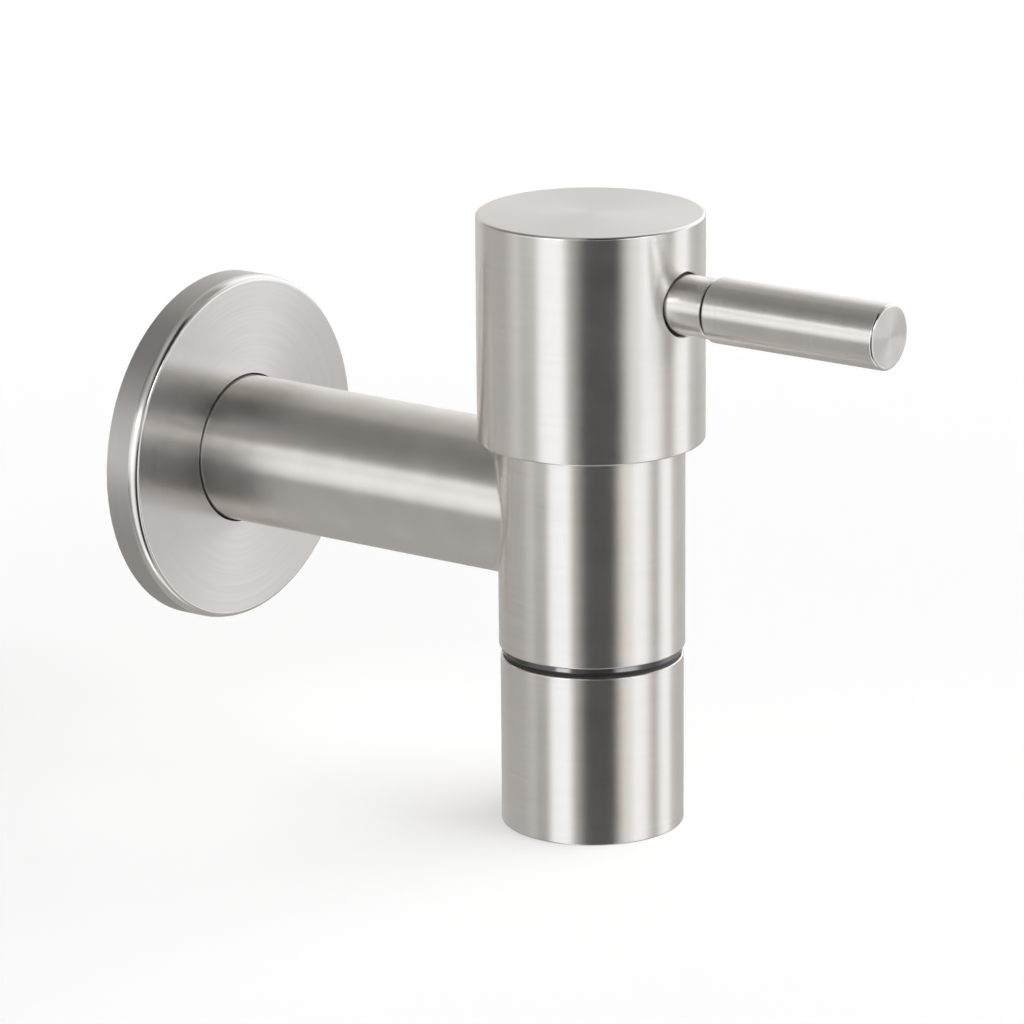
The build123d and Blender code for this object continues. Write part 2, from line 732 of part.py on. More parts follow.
pieces = {
    "tap_body": tap_body,
    "inlet_nipple": inlet_nipple,
    "wall_flange": wall_flange,
    "flange_o_ring": flange_o_ring,
    "headwork_body": headwork_body,
    "headwork_o_ring": headwork_o_ring,
    "ceramic_disc_lower": ceramic_disc_lower,
    "ceramic_disc_upper": ceramic_disc_upper,
    "seat_seal": seat_seal,
    "spindle": spindle,
    "spindle_o_rings": spindle_o_rings,
    "thrust_washer": thrust_washer,
    "spindle_clip": spindle_clip,
    "handle_hub": handle_hub,
    "hub_screw": hub_screw,
    "handle_cap": handle_cap,
    "cap_glide_ring": cap_glide_ring,
    "lever_stud": lever_stud,
    "lever_neck": lever_neck,
    "lever_grip": lever_grip,
    "nozzle_ring": nozzle_ring,
    "nozzle_sleeve": nozzle_sleeve,
    "aerator_washer": aerator_washer,
    "aerator_housing": aerator_housing,
    "aerator_jet_plate": aerator_jet_plate,
    "aerator_screens": aerator_screens,
    "aerator_grid": aerator_grid,
}

os.makedirs("parts", exist_ok=True)
for node_name, piece in pieces.items():
    piece.part.label = node_name
    export_step(piece.part, f"parts/{node_name}.step")
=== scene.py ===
"""Looks of a wall-mounted quarter-turn tap in brushed stainless steel.

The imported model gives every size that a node's box can give. Other sizes are fields of the class that
uses them, in millimetres, and meshes are turned into metres when they become objects.
"""
import logging
import math
from dataclasses import dataclass, replace
from enum import Enum, IntEnum
from typing import Iterable, Optional, Sequence, Union

import bmesh
import bpy
from mathutils import Matrix, Vector

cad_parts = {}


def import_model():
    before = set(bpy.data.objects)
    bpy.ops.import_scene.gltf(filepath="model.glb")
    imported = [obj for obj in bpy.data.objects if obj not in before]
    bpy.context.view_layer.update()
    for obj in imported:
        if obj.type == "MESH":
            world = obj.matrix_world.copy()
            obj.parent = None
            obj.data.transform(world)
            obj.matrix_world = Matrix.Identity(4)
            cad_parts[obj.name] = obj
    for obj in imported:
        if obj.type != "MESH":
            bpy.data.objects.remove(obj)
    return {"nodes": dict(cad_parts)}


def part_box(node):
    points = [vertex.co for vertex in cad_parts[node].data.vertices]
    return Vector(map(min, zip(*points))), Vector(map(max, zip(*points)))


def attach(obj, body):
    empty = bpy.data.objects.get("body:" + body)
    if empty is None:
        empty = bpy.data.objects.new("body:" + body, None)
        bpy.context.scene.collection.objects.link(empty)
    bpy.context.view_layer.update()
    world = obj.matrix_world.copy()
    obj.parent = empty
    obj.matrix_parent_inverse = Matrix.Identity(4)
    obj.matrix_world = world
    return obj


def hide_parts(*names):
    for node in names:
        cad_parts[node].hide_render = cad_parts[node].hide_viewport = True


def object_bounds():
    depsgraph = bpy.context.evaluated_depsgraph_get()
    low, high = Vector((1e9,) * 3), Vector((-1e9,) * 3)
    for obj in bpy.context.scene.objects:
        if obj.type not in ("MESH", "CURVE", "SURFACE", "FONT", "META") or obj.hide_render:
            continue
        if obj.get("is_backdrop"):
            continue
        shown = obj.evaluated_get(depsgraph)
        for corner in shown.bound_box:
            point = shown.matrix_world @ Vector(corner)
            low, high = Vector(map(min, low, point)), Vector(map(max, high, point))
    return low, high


LOG = logging.getLogger("wall_tap")
METRES = 0.001               # one millimetre
TINY = 1e-6
RING_FIT = 0.02              # play of a ring along the axis
SEAT_FIT = 0.03              # play of a piece that is pushed or screwed into its seat
SHARP_EDGE = 0.1             # roundings of edges, from the sharpest to the softest
FINE_EDGE = 0.15
SMALL_EDGE = 0.2
SOFT_EDGE = 0.3
ROOT_EDGE = 0.4
ARC_STEP = math.radians(12.0)
UP = Vector((0, 0, 1))
OUT = Vector((0, -1, 0))
SIDE = Vector((1, 0, 0))
Value = Union[float, tuple, bpy.types.NodeSocket]
HolePlaces = Sequence[tuple[float, float]]


def round_angles(count: int) -> list[float]:
    """Even angles round an axis."""
    return [math.tau * k / count for k in range(count)]


ROUND_ANGLES = round_angles(160)
HOLE_ANGLES = round_angles(128)        # a multiple of 8


class Body(Enum):
    """Bodies of the tap that pieces ride on."""

    FIXED = "body"
    HANDLE = "handle"
    FLANGE = "flange"
    NOZZLE = "nozzle"


class Zone(IntEnum):
    """Parts of a turned piece that are finished apart."""

    SIDE = 0
    EDGE = 1
    FACE = 2
    EXTRA = 3


class Facing(IntEnum):
    """Way that a round wall faces."""

    OUTWARD = 1
    INWARD = -1


class Slot(Enum):
    """Material slots of the record."""

    BODY_STEEL = "body_steel"
    FLANGE_STEEL = "flange_steel"
    CAP_STEEL = "cap_steel"
    LEVER_STEEL = "lever_steel"
    NOZZLE_STEEL = "nozzle_steel"
    NIPPLE_BRASS = "nipple_brass"
    BEAD_RUBBER = "bead_rubber"


@dataclass(frozen=True)
class Span:
    """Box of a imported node, in millimetres."""

    low: Vector
    high: Vector

    @classmethod
    def of(cls, node: str) -> "Span":
        """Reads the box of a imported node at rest."""
        low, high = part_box(node)
        return cls(low / METRES, high / METRES)

    @property
    def middle(self) -> Vector:
        """Centre of the box."""
        return (self.low + self.high) / 2

    @property
    def half(self) -> Vector:
        """Half of the box's sides."""
        return (self.high - self.low) / 2


@dataclass(frozen=True)
class Axle:
    """A turning axis with a direction that angles are measured from."""

    origin: Vector
    along: Vector
    radial: Vector

    @property
    def side(self) -> Vector:
        """Direction at a quarter turn from the radial one."""
        return self.along.cross(self.radial)

    def outward(self, angle: float) -> Vector:
        """Unit vector away from the axis at an angle in radians."""
        return self.radial * math.cos(angle) + self.side * math.sin(angle)

    def point(self, radius: float, angle: float, distance: float) -> Vector:
        """Point at a radius and angle round the axis, a distance along it."""
        return self.origin + self.along * distance + self.outward(angle) * radius

    def branch(self, distance: float) -> "Axle":
        """Axis along the radial direction, from a distance along this one, with angles from its side."""
        return Axle(self.origin + self.along * distance, self.radial, self.side)


@dataclass(frozen=True)
class Corner:
    """Corner of a turned outline. Its zone is that of the straight which leaves it."""

    along: float
    radius: float
    rounding: float = 0.0
    zone: Zone = Zone.SIDE


@dataclass(frozen=True)
class Stretch:
    """Straight stretch between two points of an outline, with the surface's normal at each end."""

    start: Vector
    end: Vector
    start_normal: Vector
    end_normal: Vector
    zone: Zone


class Outline:
    """Outline of a turned piece: the material lies on the right of its path in the along-radius plane."""

    def __init__(self, *sizes: tuple[float, ...], closed: bool = False) -> None:
        """Rounds the corners and divides the arcs.

        Args:
            sizes: place along the axis, radius, rounding and zone of each corner in order. The last two
                may be left out.
            closed: True where the last corner joins the first.
        """
        corners = [Corner(*size) for size in sizes]
        self.closed = closed
        self.stretches: list[Stretch] = []
        places = [Vector((corner.along, corner.radius)) for corner in corners]
        count = len(places)
        last = count if closed else count - 1
        ways = [(places[(i + 1) % count] - places[i]).normalized() for i in range(last)]
        trims = [0.0] * count
        for i in range(count) if closed else range(1, count - 1):
            trims[i] = corners[i].rounding * math.tan(ways[i - 1].angle(ways[i % last]) / 2)
        for i in range(last):
            way, following = ways[i], (i + 1) % count
            normal = self.left_of(way)
            start = places[i] + way * trims[i]
            end = places[following] - way * trims[following]
            self.stretches.append(Stretch(start, end, normal, normal, corners[i].zone))
            if trims[following] > TINY:
                self.add_arc(end, way, ways[(i + 1) % last], corners[following].rounding)

    @staticmethod
    def left_of(way: Vector) -> Vector:
        """Direction to the left of a path, which is out of the material."""
        return Vector((-way.y, way.x))

    def add_arc(self, start: Vector, way: Vector, next_way: Vector, radius: float) -> None:
        """Adds the stretches of a rounded corner.

        Args:
            start: where the arc leaves the straight before it.
            way: direction before the corner.
            next_way: direction after the corner.
            radius: the arc's radius.
        """
        turn = way.angle_signed(next_way)
        reach = math.copysign(radius, turn)
        first = self.left_of(way)
        centre = start - first * reach
        steps = max(2, math.ceil(abs(turn) / ARC_STEP))
        previous, previous_normal = start, first
        for step in range(1, steps + 1):
            cosine, sine = math.cos(-turn * step / steps), math.sin(-turn * step / steps)
            normal = Vector((first.x * cosine - first.y * sine, first.x * sine + first.y * cosine))
            place = centre + normal * reach
            self.stretches.append(Stretch(previous, place, previous_normal, normal, Zone.EDGE))
            previous, previous_normal = place, normal


@dataclass(frozen=True)
class Thread:
    """Form of a screw thread."""

    pitch: float
    depth: float
    runout: float = 0.8
    steps: int = 10

    def cut(self, angle: float, level: float) -> float:
        """Depth below the crests at a place on the wall."""
        turn = level / self.pitch - angle / math.tau
        return self.depth * (0.5 - 0.5 * math.cos(math.tau * turn))


@dataclass
class Wall:
    """Result of a pierced wall: its closed rims below and above the hole, and their angles."""

    bottom: list[int]
    top: list[int]
    angles: list[float]


class MeshDraft:
    """Collects points, faces and the exact normal at each corner of a face, in millimetres."""

    def __init__(self) -> None:
        """Starts an empty draft."""
        self.points: list[Vector] = []
        self.faces: list[tuple[int, ...]] = []
        self.normals: list[tuple[Vector, ...]] = []
        self.zones: list[int] = []

    def add_points(self, points: Iterable[Vector]) -> list[int]:
        """Adds points.

        Args:
            points: their places, in millimetres.

        Returns:
            Their numbers.
        """
        first = len(self.points)
        self.points.extend(points)
        return list(range(first, len(self.points)))

    def add_ring(self, axle: Axle, radius: float, angles: Sequence[float], level: float) -> list[int]:
        """Adds points round an axis at one level and gives their numbers."""
        return self.add_points(axle.point(radius, angle, level) for angle in angles)

    def add_face(self, corners: Sequence[int], normals: Sequence[Vector], zone: int = Zone.SIDE) -> None:
        """Adds one face, turned so that it faces the way of its normals.

        Args:
            corners: numbers of its points. Repeated points are dropped.
            normals: the surface's normal at each corner.
            zone: what it is finished as.
        """
        kept = [k for k in range(len(corners)) if corners[k] != corners[k - 1]]
        if len(kept) < 3:
            return
        corners = [corners[k] for k in kept]
        normals = [normals[k] for k in kept]
        first, second, third = (self.points[corners[k]] for k in (0, 1, 2))
        facing = (second - first).cross(third - first)
        if len(corners) == 4:
            facing += (third - first).cross(self.points[corners[3]] - first)
        if facing.dot(sum(normals, Vector((0, 0, 0)))) < 0:
            corners, normals = corners[::-1], normals[::-1]
        self.faces.append(tuple(corners))
        self.normals.append(tuple(normals))
        self.zones.append(int(zone))

    def bridge(
        self,
        first: Sequence[int],
        second: Sequence[int],
        normals: Sequence[Vector],
        second_normals: Optional[Sequence[Vector]] = None,
        zone: int = Zone.SIDE,
    ) -> None:
        """Joins two closed rims of as many points.

        Args:
            first: numbers of the first rim's points.
            second: numbers of the second rim's points.
            normals: normals along the first rim.
            second_normals: normals along the second rim, or None where they are the same.
            zone: what the faces are finished as.
        """
        others = second_normals or normals
        for k in range(len(first)):
            j = k - 1
            face = (first[j], first[k], second[k], second[j])
            self.add_face(face, (normals[j], normals[k], others[k], others[j]), zone)

    def turn(
        self,
        axle: Axle,
        outline: Outline,
        angles: Sequence[float] = ROUND_ANGLES,
        start: Optional[Sequence[int]] = None,
        end: Optional[Sequence[int]] = None,
        zone: Optional[Zone] = None,
    ) -> list[int]:
        """Turns an outline round an axis.

        Args:
            axle: the axis.
            outline: what is turned.
            angles: places of the points round the axis.
            start: numbers of a rim that is the outline's first point.
            end: numbers of a rim that is the outline's last point.
            zone: one finish for the whole outline, or None for its own zones.

        Returns:
            Numbers of the last rim's points.
        """
        outwards = [axle.outward(angle) for angle in angles]

        def rim_at(place: Vector) -> list[int]:
            """Adds the rim of one point of the outline, or a single point on the axis.

            Args:
                place: the point, along the axis and away from it.

            Returns:
                Numbers of the rim's points.
            """
            middle = axle.origin + axle.along * place.x
            if place.y < TINY:
                return self.add_points([middle]) * len(angles)
            return self.add_points(middle + out * place.y for out in outwards)

        first = list(start) if start else rim_at(outline.stretches[0].start)
        rim = first
        for number, stretch in enumerate(outline.stretches):
            if number == len(outline.stretches) - 1 and (outline.closed or end):
                following = first if outline.closed else list(end)
            elif (stretch.end - stretch.start).length < TINY:
                continue
            else:
                following = rim_at(stretch.end)
            before, after = (
                [(axle.along * normal.x + out * normal.y).normalized() for out in outwards]
                for normal in (stretch.start_normal, stretch.end_normal)
            )
            self.bridge(rim, following, before, after, stretch.zone if zone is None else zone)
            rim = following
        return rim

    def hole_rim(
        self, axle: Axle, level: float, wall_radius: float, hole_radius: float
    ) -> tuple[list[int], HolePlaces]:
        """Adds the rim where a side hole breaks through a round wall.

        Args:
            axle: the wall's axis, with its radial direction through the hole.
            level: place of the hole along it.
            wall_radius: the wall's radius.
            hole_radius: the hole's radius.

        Returns:
            Numbers of the rim's points, and the angle and level of each.
        """
        hole = axle.branch(level)
        offsets = [(hole_radius * math.cos(step), hole_radius * math.sin(step)) for step in HOLE_ANGLES]
        rim = self.add_points(
            hole.point(hole_radius, step, math.sqrt(wall_radius**2 - across**2))
            for step, (across, _) in zip(HOLE_ANGLES, offsets)
        )
        return rim, [(math.asin(across / wall_radius), level + rise) for across, rise in offsets]

    def pierced_wall(
        self,
        axle: Axle,
        radius: float,
        levels: tuple[float, float],
        hole: tuple[Sequence[int], HolePlaces],
        half_angle: float,
        facing: Facing = Facing.OUTWARD,
        rings: int = 12,
        columns: int = 96,
    ) -> Wall:
        """Covers a round wall that has one side hole.

        Args:
            axle: the wall's axis, with its radial direction through the hole.
            radius: the wall's radius.
            levels: lower and upper end along the axis.
            hole: numbers of the hole's rim, round it from the axis's side direction, and the angle and
                level of each of its points.
            half_angle: half width of the patch round the hole, in radians.
            facing: inward for a bore.
            rings: steps from the hole to the patch's edge.
            columns: steps round the rest of the wall.

        Returns:
            The wall's closed rims.
        """
        rim, rim_places = hole
        count = len(rim)
        low, high = levels
        middle = sum(place[1] for place in rim_places) / count

        def edge_place(step: int) -> tuple[float, float]:
            """Finds a place on the patch's edge.

            Args:
                step: which point of the hole's rim it lies beyond.

            Returns:
                Its angle and level.
            """
            across, up = math.cos(math.tau * step / count), math.sin(math.tau * step / count)
            reach = max(abs(across), abs(up))
            rise = high - middle if up > 0 else middle - low
            return half_angle * across / reach, middle + rise * up / reach

        def normals_at(places: HolePlaces) -> list[Vector]:
            """Normals of the wall at some places."""
            return [axle.outward(angle) * facing for angle, _ in places]

        start_places = rim_places
        edge = [edge_place(step) for step in range(count)]
        for ring in range(1, rings + 1):
            share = ring / rings
            places = [
                (a[0] + (b[0] - a[0]) * share, a[1] + (b[1] - a[1]) * share)
                for a, b in zip(start_places, edge)
            ]
            following = self.add_points(axle.point(radius, angle, level) for angle, level in places)
            self.bridge(rim, following, normals_at(rim_places), normals_at(places))
            rim, rim_places = following, places
        eighth = count // 8
        upward = [step % count for step in range(-eighth, eighth + 1)]
        left = [rim[(count // 2 - step) % count] for step in upward]
        rest_width = math.tau - 2 * half_angle
        rest = [half_angle + rest_width * k / columns for k in range(1, columns)]
        bottom = [rim[step] for step in range(5 * eighth, 7 * eighth + 1)]
        top = [rim[step] for step in range(3 * eighth, eighth - 1, -1)]
        angles = [edge[step][0] for step in range(5 * eighth, 7 * eighth + 1)]
        previous, previous_angle = [rim[step] for step in upward], half_angle
        for angle in rest + [math.tau - half_angle]:
            if angle == math.tau - half_angle:
                following = left
            else:
                following = self.add_points(axle.point(radius, angle, edge[step][1]) for step in upward)
                bottom.append(following[0])
                top.append(following[-1])
            before, after = (axle.outward(a) * facing for a in (previous_angle, angle))
            for k in range(len(upward) - 1):
                face = (previous[k], following[k], following[k + 1], previous[k + 1])
                self.add_face(face, (before, after, after, before))
            previous, previous_angle = following, angle
        return Wall(bottom, top, angles + rest)

    def threaded_wall(
        self,
        axle: Axle,
        angles: Sequence[float],
        start: Sequence[int],
        levels: tuple[float, float],
        radius: float,
        thread: Thread,
        facing: Facing = Facing.OUTWARD,
    ) -> list[int]:
        """Covers a round wall with a helical thread.

        Args:
            axle: the thread's axis.
            angles: places of the points round it.
            start: numbers of the rim that it starts from.
            levels: first and last place along the axis.
            radius: radius at both ends, which is the crests' radius.
            thread: the thread's form.
            facing: inward for a tapped hole.

        Returns:
            Numbers of the last rim's points.
        """
        low, high = levels
        rows = math.ceil(abs(high - low) / thread.pitch * thread.steps)
        step = 1e-3

        def radius_at(angle: float, level: float) -> float:
            """Radius at a place on the thread."""
            inset = min(abs(level - low), abs(high - level)) / thread.runout
            return radius - facing * thread.cut(angle, level) * min(1.0, max(0.0, inset))

        def normals_at(level: float) -> list[Vector]:
            """Works out the normals round the thread.

            Args:
                level: place along the axis.

            Returns:
                The normal at each angle.
            """
            found = []
            for angle in angles:
                here = radius_at(angle, level)
                rise = (radius_at(angle, level + step) - radius_at(angle, level - step)) / (2 * step)
                swing = (radius_at(angle + step, level) - radius_at(angle - step, level)) / (2 * step)
                out = axle.outward(angle)
                normal = out - axle.along * rise - axle.along.cross(out) * (swing / here)
                found.append(normal.normalized() * facing)
            return found

        rim, rim_normals = list(start), normals_at(low)
        for row in range(1, rows + 1):
            level = low + (high - low) * row / rows
            following = self.add_points(
                axle.point(radius_at(angle, level), angle, level) for angle in angles
            )
            following_normals = normals_at(level)
            self.bridge(rim, following, rim_normals, following_normals)
            rim, rim_normals = following, following_normals
        return rim

    def weld(
        self,
        first: Sequence[int],
        second: Sequence[int],
        first_angles: Sequence[float],
        second_angles: Sequence[float],
        normal: Vector,
    ) -> None:
        """Closes a flat ring between two rims whose points stand at different angles.

        Args:
            first: numbers of one rim's points.
            second: numbers of the other rim's points.
            first_angles: their angles, rising.
            second_angles: the other rim's angles, rising.
            normal: the way that the ring faces.
        """
        i = j = 0
        count, other = len(first), len(second)
        while i < count or j < other:
            next_i = first_angles[(i + 1) % count] + (math.tau if i + 1 >= count else 0.0)
            next_j = second_angles[(j + 1) % other] + (math.tau if j + 1 >= other else 0.0)
            here, there = first[i % count], second[j % other]
            if j >= other or (i < count and next_i <= next_j):
                i += 1
                following = first[i % count]
            else:
                j += 1
                following = second[j % other]
            self.add_face((here, following, there), (normal,) * 3)

    def deliver(
        self, name: str, materials: Sequence[bpy.types.Material], body: Body, slot: Slot, node: str
    ) -> None:
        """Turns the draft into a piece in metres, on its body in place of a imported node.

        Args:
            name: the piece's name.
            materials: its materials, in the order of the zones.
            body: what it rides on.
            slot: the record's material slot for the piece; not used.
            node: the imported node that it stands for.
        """
        mesh = bpy.data.meshes.new(name)
        mesh.from_pydata([point * METRES for point in self.points], [], self.faces)
        for material in materials:
            mesh.materials.append(material)
        mesh.polygons.foreach_set("use_smooth", [True] * len(self.faces))
        mesh.polygons.foreach_set("material_index", self.zones)
        mesh.normals_split_custom_set([normal for normals in self.normals for normal in normals])
        mesh.update()
        piece = bpy.data.objects.new(name, mesh)
        bpy.context.scene.collection.objects.link(piece)
        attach(piece, body.value)
        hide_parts(node)
        LOG.info("%s stands for %s, with %d faces", name, node, len(self.faces))


class NodeBoard:
    """Short ways to lay out shader nodes."""

    def __init__(self, owner: Union[bpy.types.Material, bpy.types.World]) -> None:
        """Empties a node tree.

        Args:
            owner: the material or world that it belongs to.
        """
        owner.use_nodes = True
        self.tree = owner.node_tree
        self.tree.nodes.clear()

    def add(self, kind: str, inputs: Optional[dict] = None, **settings: object) -> bpy.types.Node:
        """Adds a node.

        Args:
            kind: the node's type name.
            inputs: values for its inputs, or outputs to link to them, by name or number.
            settings: properties to set on it.

        Returns:
            The node.
        """
        node = self.tree.nodes.new(kind)
        for key, value in settings.items():
            setattr(node, key, value)
        for key, value in (inputs or {}).items():
            if isinstance(value, bpy.types.NodeSocket):
                self.tree.links.new(value, node.inputs[key])
            else:
                node.inputs[key].default_value = value
        return node

    def math(self, operation: str, *values: Value) -> bpy.types.NodeSocket:
        """Works out a number from one to three values."""
        return self.add("ShaderNodeMath", dict(enumerate(values)), operation=operation).outputs[0]

    def vector(self, operation: str, *values: Value) -> bpy.types.NodeSocket:
        """Works out a vector, or the number that a dot product or length gives."""
        node = self.add("ShaderNodeVectorMath", dict(enumerate(values)), operation=operation)
        return node.outputs["Value" if operation in ("DOT_PRODUCT", "LENGTH") else "Vector"]

    def scaled(self, vector: Value, factor: Value) -> bpy.types.NodeSocket:
        """Vector or colour times a number."""
        return self.add("ShaderNodeVectorMath", {0: vector, "Scale": factor}, operation="SCALE").outputs[0]

    def mixed(self, base: Value, *parts: tuple[Value, float]) -> Value:
        """Adds several values, each times its weight.

        Args:
            base: what they are added to.
            parts: the values with their weights.

        Returns:
            The sum.
        """
        for value, weight in parts:
            base = self.math("MULTIPLY_ADD", value, weight, base)
        return base

    def ramp(
        self, value: Value, start: float, end: float, low: float = 0.0, high: float = 1.0
    ) -> bpy.types.NodeSocket:
        """Smooth step of a value.

        Args:
            value: what is mapped.
            start: value where the step begins.
            end: value where it ends.
            low: result before the step.
            high: result after it.

        Returns:
            The result's socket.
        """
        names = ("Value", "From Min", "From Max", "To Min", "To Max")
        inputs = dict(zip(names, (value, start, end, low, high)))
        return self.add("ShaderNodeMapRange", inputs, interpolation_type="SMOOTHSTEP").outputs[0]

    def soft_edge(self, angle: Value, place: float, fade: float, falling: bool = False) -> Value:
        """Smooth step of an angle at a place, over a fade on each side of it, both in degrees."""
        ends = (1.0, 0.0) if falling else (0.0, 1.0)
        return self.ramp(angle, math.radians(place - fade), math.radians(place + fade), *ends)

    def noise(
        self, vector: Value, size: float, detail: float = 2.0, roughness: float = 0.5
    ) -> bpy.types.NodeSocket:
        """Noise between 0 and 1 at a place.

        Args:
            vector: where the noise is read.
            size: how large its grains are, in the units of that place.
            detail: how many finer layers it has.
            roughness: how strong they are.

        Returns:
            The noise's number.
        """
        inputs = {"Vector": vector, "Scale": 1.0 / size, "Detail": detail, "Roughness": roughness}
        return self.add("ShaderNodeTexNoise", inputs, noise_dimensions="3D").outputs["Fac"]

    def bump(self, height: Value, depth: float, under: Optional[Value] = None) -> bpy.types.NodeSocket:
        """Tilts the normal by a height.

        Args:
            height: the height, between 0 and 1.
            depth: what a height of 1 stands for, in millimetres.
            under: a normal that is already tilted.

        Returns:
            The new normal.
        """
        inputs = {"Strength": 1.0, "Distance": depth * METRES, "Height": height}
        if under:
            inputs["Normal"] = under
        return self.add("ShaderNodeBump", inputs).outputs[0]

    def end(self, kind: str, inputs: dict, output: str = "ShaderNodeOutputMaterial") -> None:
        """Adds the last shader of a material or world, and its output."""
        self.add(output, {"Surface": self.add(kind, inputs).outputs[0]})


@dataclass(frozen=True)
class TurnedMetal:
    """Metal with fine marks that run round an axis, from a lathe or a belt."""

    name: str
    colour: tuple[float, float, float]
    roughness: float = 0.23
    anisotropy: float = 0.86
    mark_length: float = 8.0
    mark_width: float = 0.15
    mark_contrast: float = 0.14
    mark_depth: float = 0.0008
    cloud_size: float = 9.0
    cloud_contrast: float = 0.05
    wave_size: float = 7.0
    wave_depth: float = 0.02
    mark_layers: tuple[tuple[float, float], ...] = ((4.0, 0.4), (1.0, 0.6))
    mark_swing: float = 0.06
    cloud_swing: float = 0.08

    def material(self, axle: Axle, radius: float) -> bpy.types.Material:
        """Makes the finish for one axis.

        Args:
            axle: the axis that the marks run round.
            radius: usual radius of the piece, which sets how long the marks are.

        Returns:
            The material.
        """
        material = bpy.data.materials.new(self.name)
        board = NodeBoard(material)
        along = tuple(axle.along)
        place = board.add("ShaderNodeTexCoord").outputs["Object"]
        offset = board.vector("SUBTRACT", place, tuple(axle.origin * METRES))
        distance = board.vector("DOT_PRODUCT", offset, along)
        out = board.vector("SUBTRACT", offset, board.scaled(along, distance))
        run = board.math("ADD", distance, board.vector("LENGTH", out))
        out_way = board.vector("NORMALIZE", out)
        marks = 0.0
        for coarseness, weight in self.mark_layers:
            around = board.scaled(out_way, radius / (self.mark_length * math.sqrt(coarseness)))
            across = board.math("DIVIDE", run, self.mark_width * coarseness * METRES)
            drawn = board.vector("ADD", around, board.scaled(along, across))
            marks = board.mixed(marks, (board.noise(drawn, 1.0, roughness=0.6), weight))
        swing = board.math("SUBTRACT", marks, 0.5)
        clouds = board.noise(place, self.cloud_size * METRES, detail=3.0)
        drift = board.math("SUBTRACT", clouds, 0.5)
        brightness = board.mixed(1.0, (swing, self.mark_contrast), (drift, self.cloud_contrast))
        waves = board.noise(place, self.wave_size * METRES, detail=1.0)
        around = board.vector("NORMALIZE", board.vector("CROSS_PRODUCT", along, offset))
        kinds = {"vector_type": "VECTOR", "convert_from": "OBJECT", "convert_to": "WORLD"}
        turned = board.add("ShaderNodeVectorTransform", {0: around}, **kinds).outputs[0]
        normal = board.add("ShaderNodeNewGeometry").outputs["Normal"]
        board.end(
            "ShaderNodeBsdfPrincipled",
            {
                "Base Color": board.scaled(self.colour, brightness),
                "Roughness": board.mixed(
                    self.roughness, (swing, self.mark_swing), (drift, self.cloud_swing)
                ),
                "Metallic": 1.0,
                "Anisotropic": self.anisotropy,
                "Tangent": board.vector("CROSS_PRODUCT", normal, turned),
                "Normal": board.bump(marks, self.mark_depth, board.bump(waves, self.wave_depth)),
            },
        )
        return material


@dataclass(frozen=True)
class Moulded:
    """Rubber, plastic or fired ceramic with a fine grain."""

    name: str
    colour: tuple[float, float, float]
    roughness: float
    grain: float = 0.35
    grain_depth: float = 0.0024
    cloud_ratio: float = 14.0
    contrast: float = 0.12
    roughness_swing: float = 0.12
    coat: float = 0.0
    coat_roughness: float = 0.06
    coat_index: float = 1.5
    sheen: float = 0.0

    def material(self) -> bpy.types.Material:
        """Makes the finish.

        Returns:
            The material.
        """
        material = bpy.data.materials.new(self.name)
        board = NodeBoard(material)
        place = board.add("ShaderNodeTexCoord").outputs["Object"]
        grain = board.noise(place, self.grain * METRES, detail=4.0, roughness=0.6)
        clouds = board.noise(place, self.grain * self.cloud_ratio * METRES)
        swing = board.mixed(-1.0, (grain, 1.0), (clouds, 1.0))
        board.end(
            "ShaderNodeBsdfPrincipled",
            {
                "Base Color": board.scaled(self.colour, board.mixed(1.0, (swing, self.contrast))),
                "Roughness": board.mixed(self.roughness, (swing, self.roughness_swing)),
                "Coat Weight": self.coat,
                "Coat Roughness": self.coat_roughness,
                "Coat IOR": self.coat_index,
                "Sheen Weight": self.sheen,
                "Normal": board.bump(grain, self.grain_depth),
            },
        )
        return material


BRASS_COLOUR = (0.83, 0.62, 0.30)
STEEL_COLOUR = (0.866, 0.840, 0.815)
BRUSHED = TurnedMetal("brushed_steel", STEEL_COLOUR)
ARM = replace(
    BRUSHED, name="arm_steel", mark_contrast=0.05, cloud_size=6.0, cloud_contrast=0.10, wave_depth=0.04
)
EDGE = replace(
    BRUSHED, name="broken_edge_steel", roughness=0.15, anisotropy=0.5, mark_contrast=0.03, mark_depth=0.0002
)
SATIN = TurnedMetal(
    "satin_steel", (0.775, 0.752, 0.732), 0.34, anisotropy=0.25, mark_contrast=0.05, cloud_contrast=0.07
)
# Steel for flat faces with long turning marks. The marks are real, but its colour is set darker than the
# brushed steel as painted shade.
TURNED_PAINTED_SHADE = TurnedMetal(
    "turned_steel_painted_shade",
    (0.665, 0.645, 0.627),
    roughness=0.24,
    anisotropy=0.89,
    mark_length=17.0,
    mark_width=0.26,
    mark_contrast=0.18,
    mark_depth=0.0007,
)
# Rougher steel for the flange's side, with its colour darkened as painted shade.
RIM_PAINTED_SHADE = TurnedMetal("rim_steel_painted_shade", (0.55, 0.537, 0.523), roughness=0.36, anisotropy=0.35)
# Near-black steel in the lever's fine groove: painted shade in the recess.
GROOVE_PAINTED_SHADE = TurnedMetal("groove_painted_shade_steel", (0.16, 0.155, 0.15), roughness=0.45, anisotropy=0.3)
NIPPLE_BRASS = TurnedMetal("nipple_brass", BRASS_COLOUR, roughness=0.28, anisotropy=0.75)
RING_RUBBER = Moulded("black_ring", (0.002, 0.002, 0.002), 0.45, grain=0.6)
BEAD_RUBBER = replace(RING_RUBBER, name="glossy_black_ring", roughness=0.12, coat=1.0, coat_index=1.9)


def dress(finishes: Sequence[TurnedMetal], axle: Axle, radius: float) -> list[bpy.types.Material]:
    """Makes a piece's finishes round its axis, in the order of the zones."""
    return [finish.material(axle, radius) for finish in finishes]


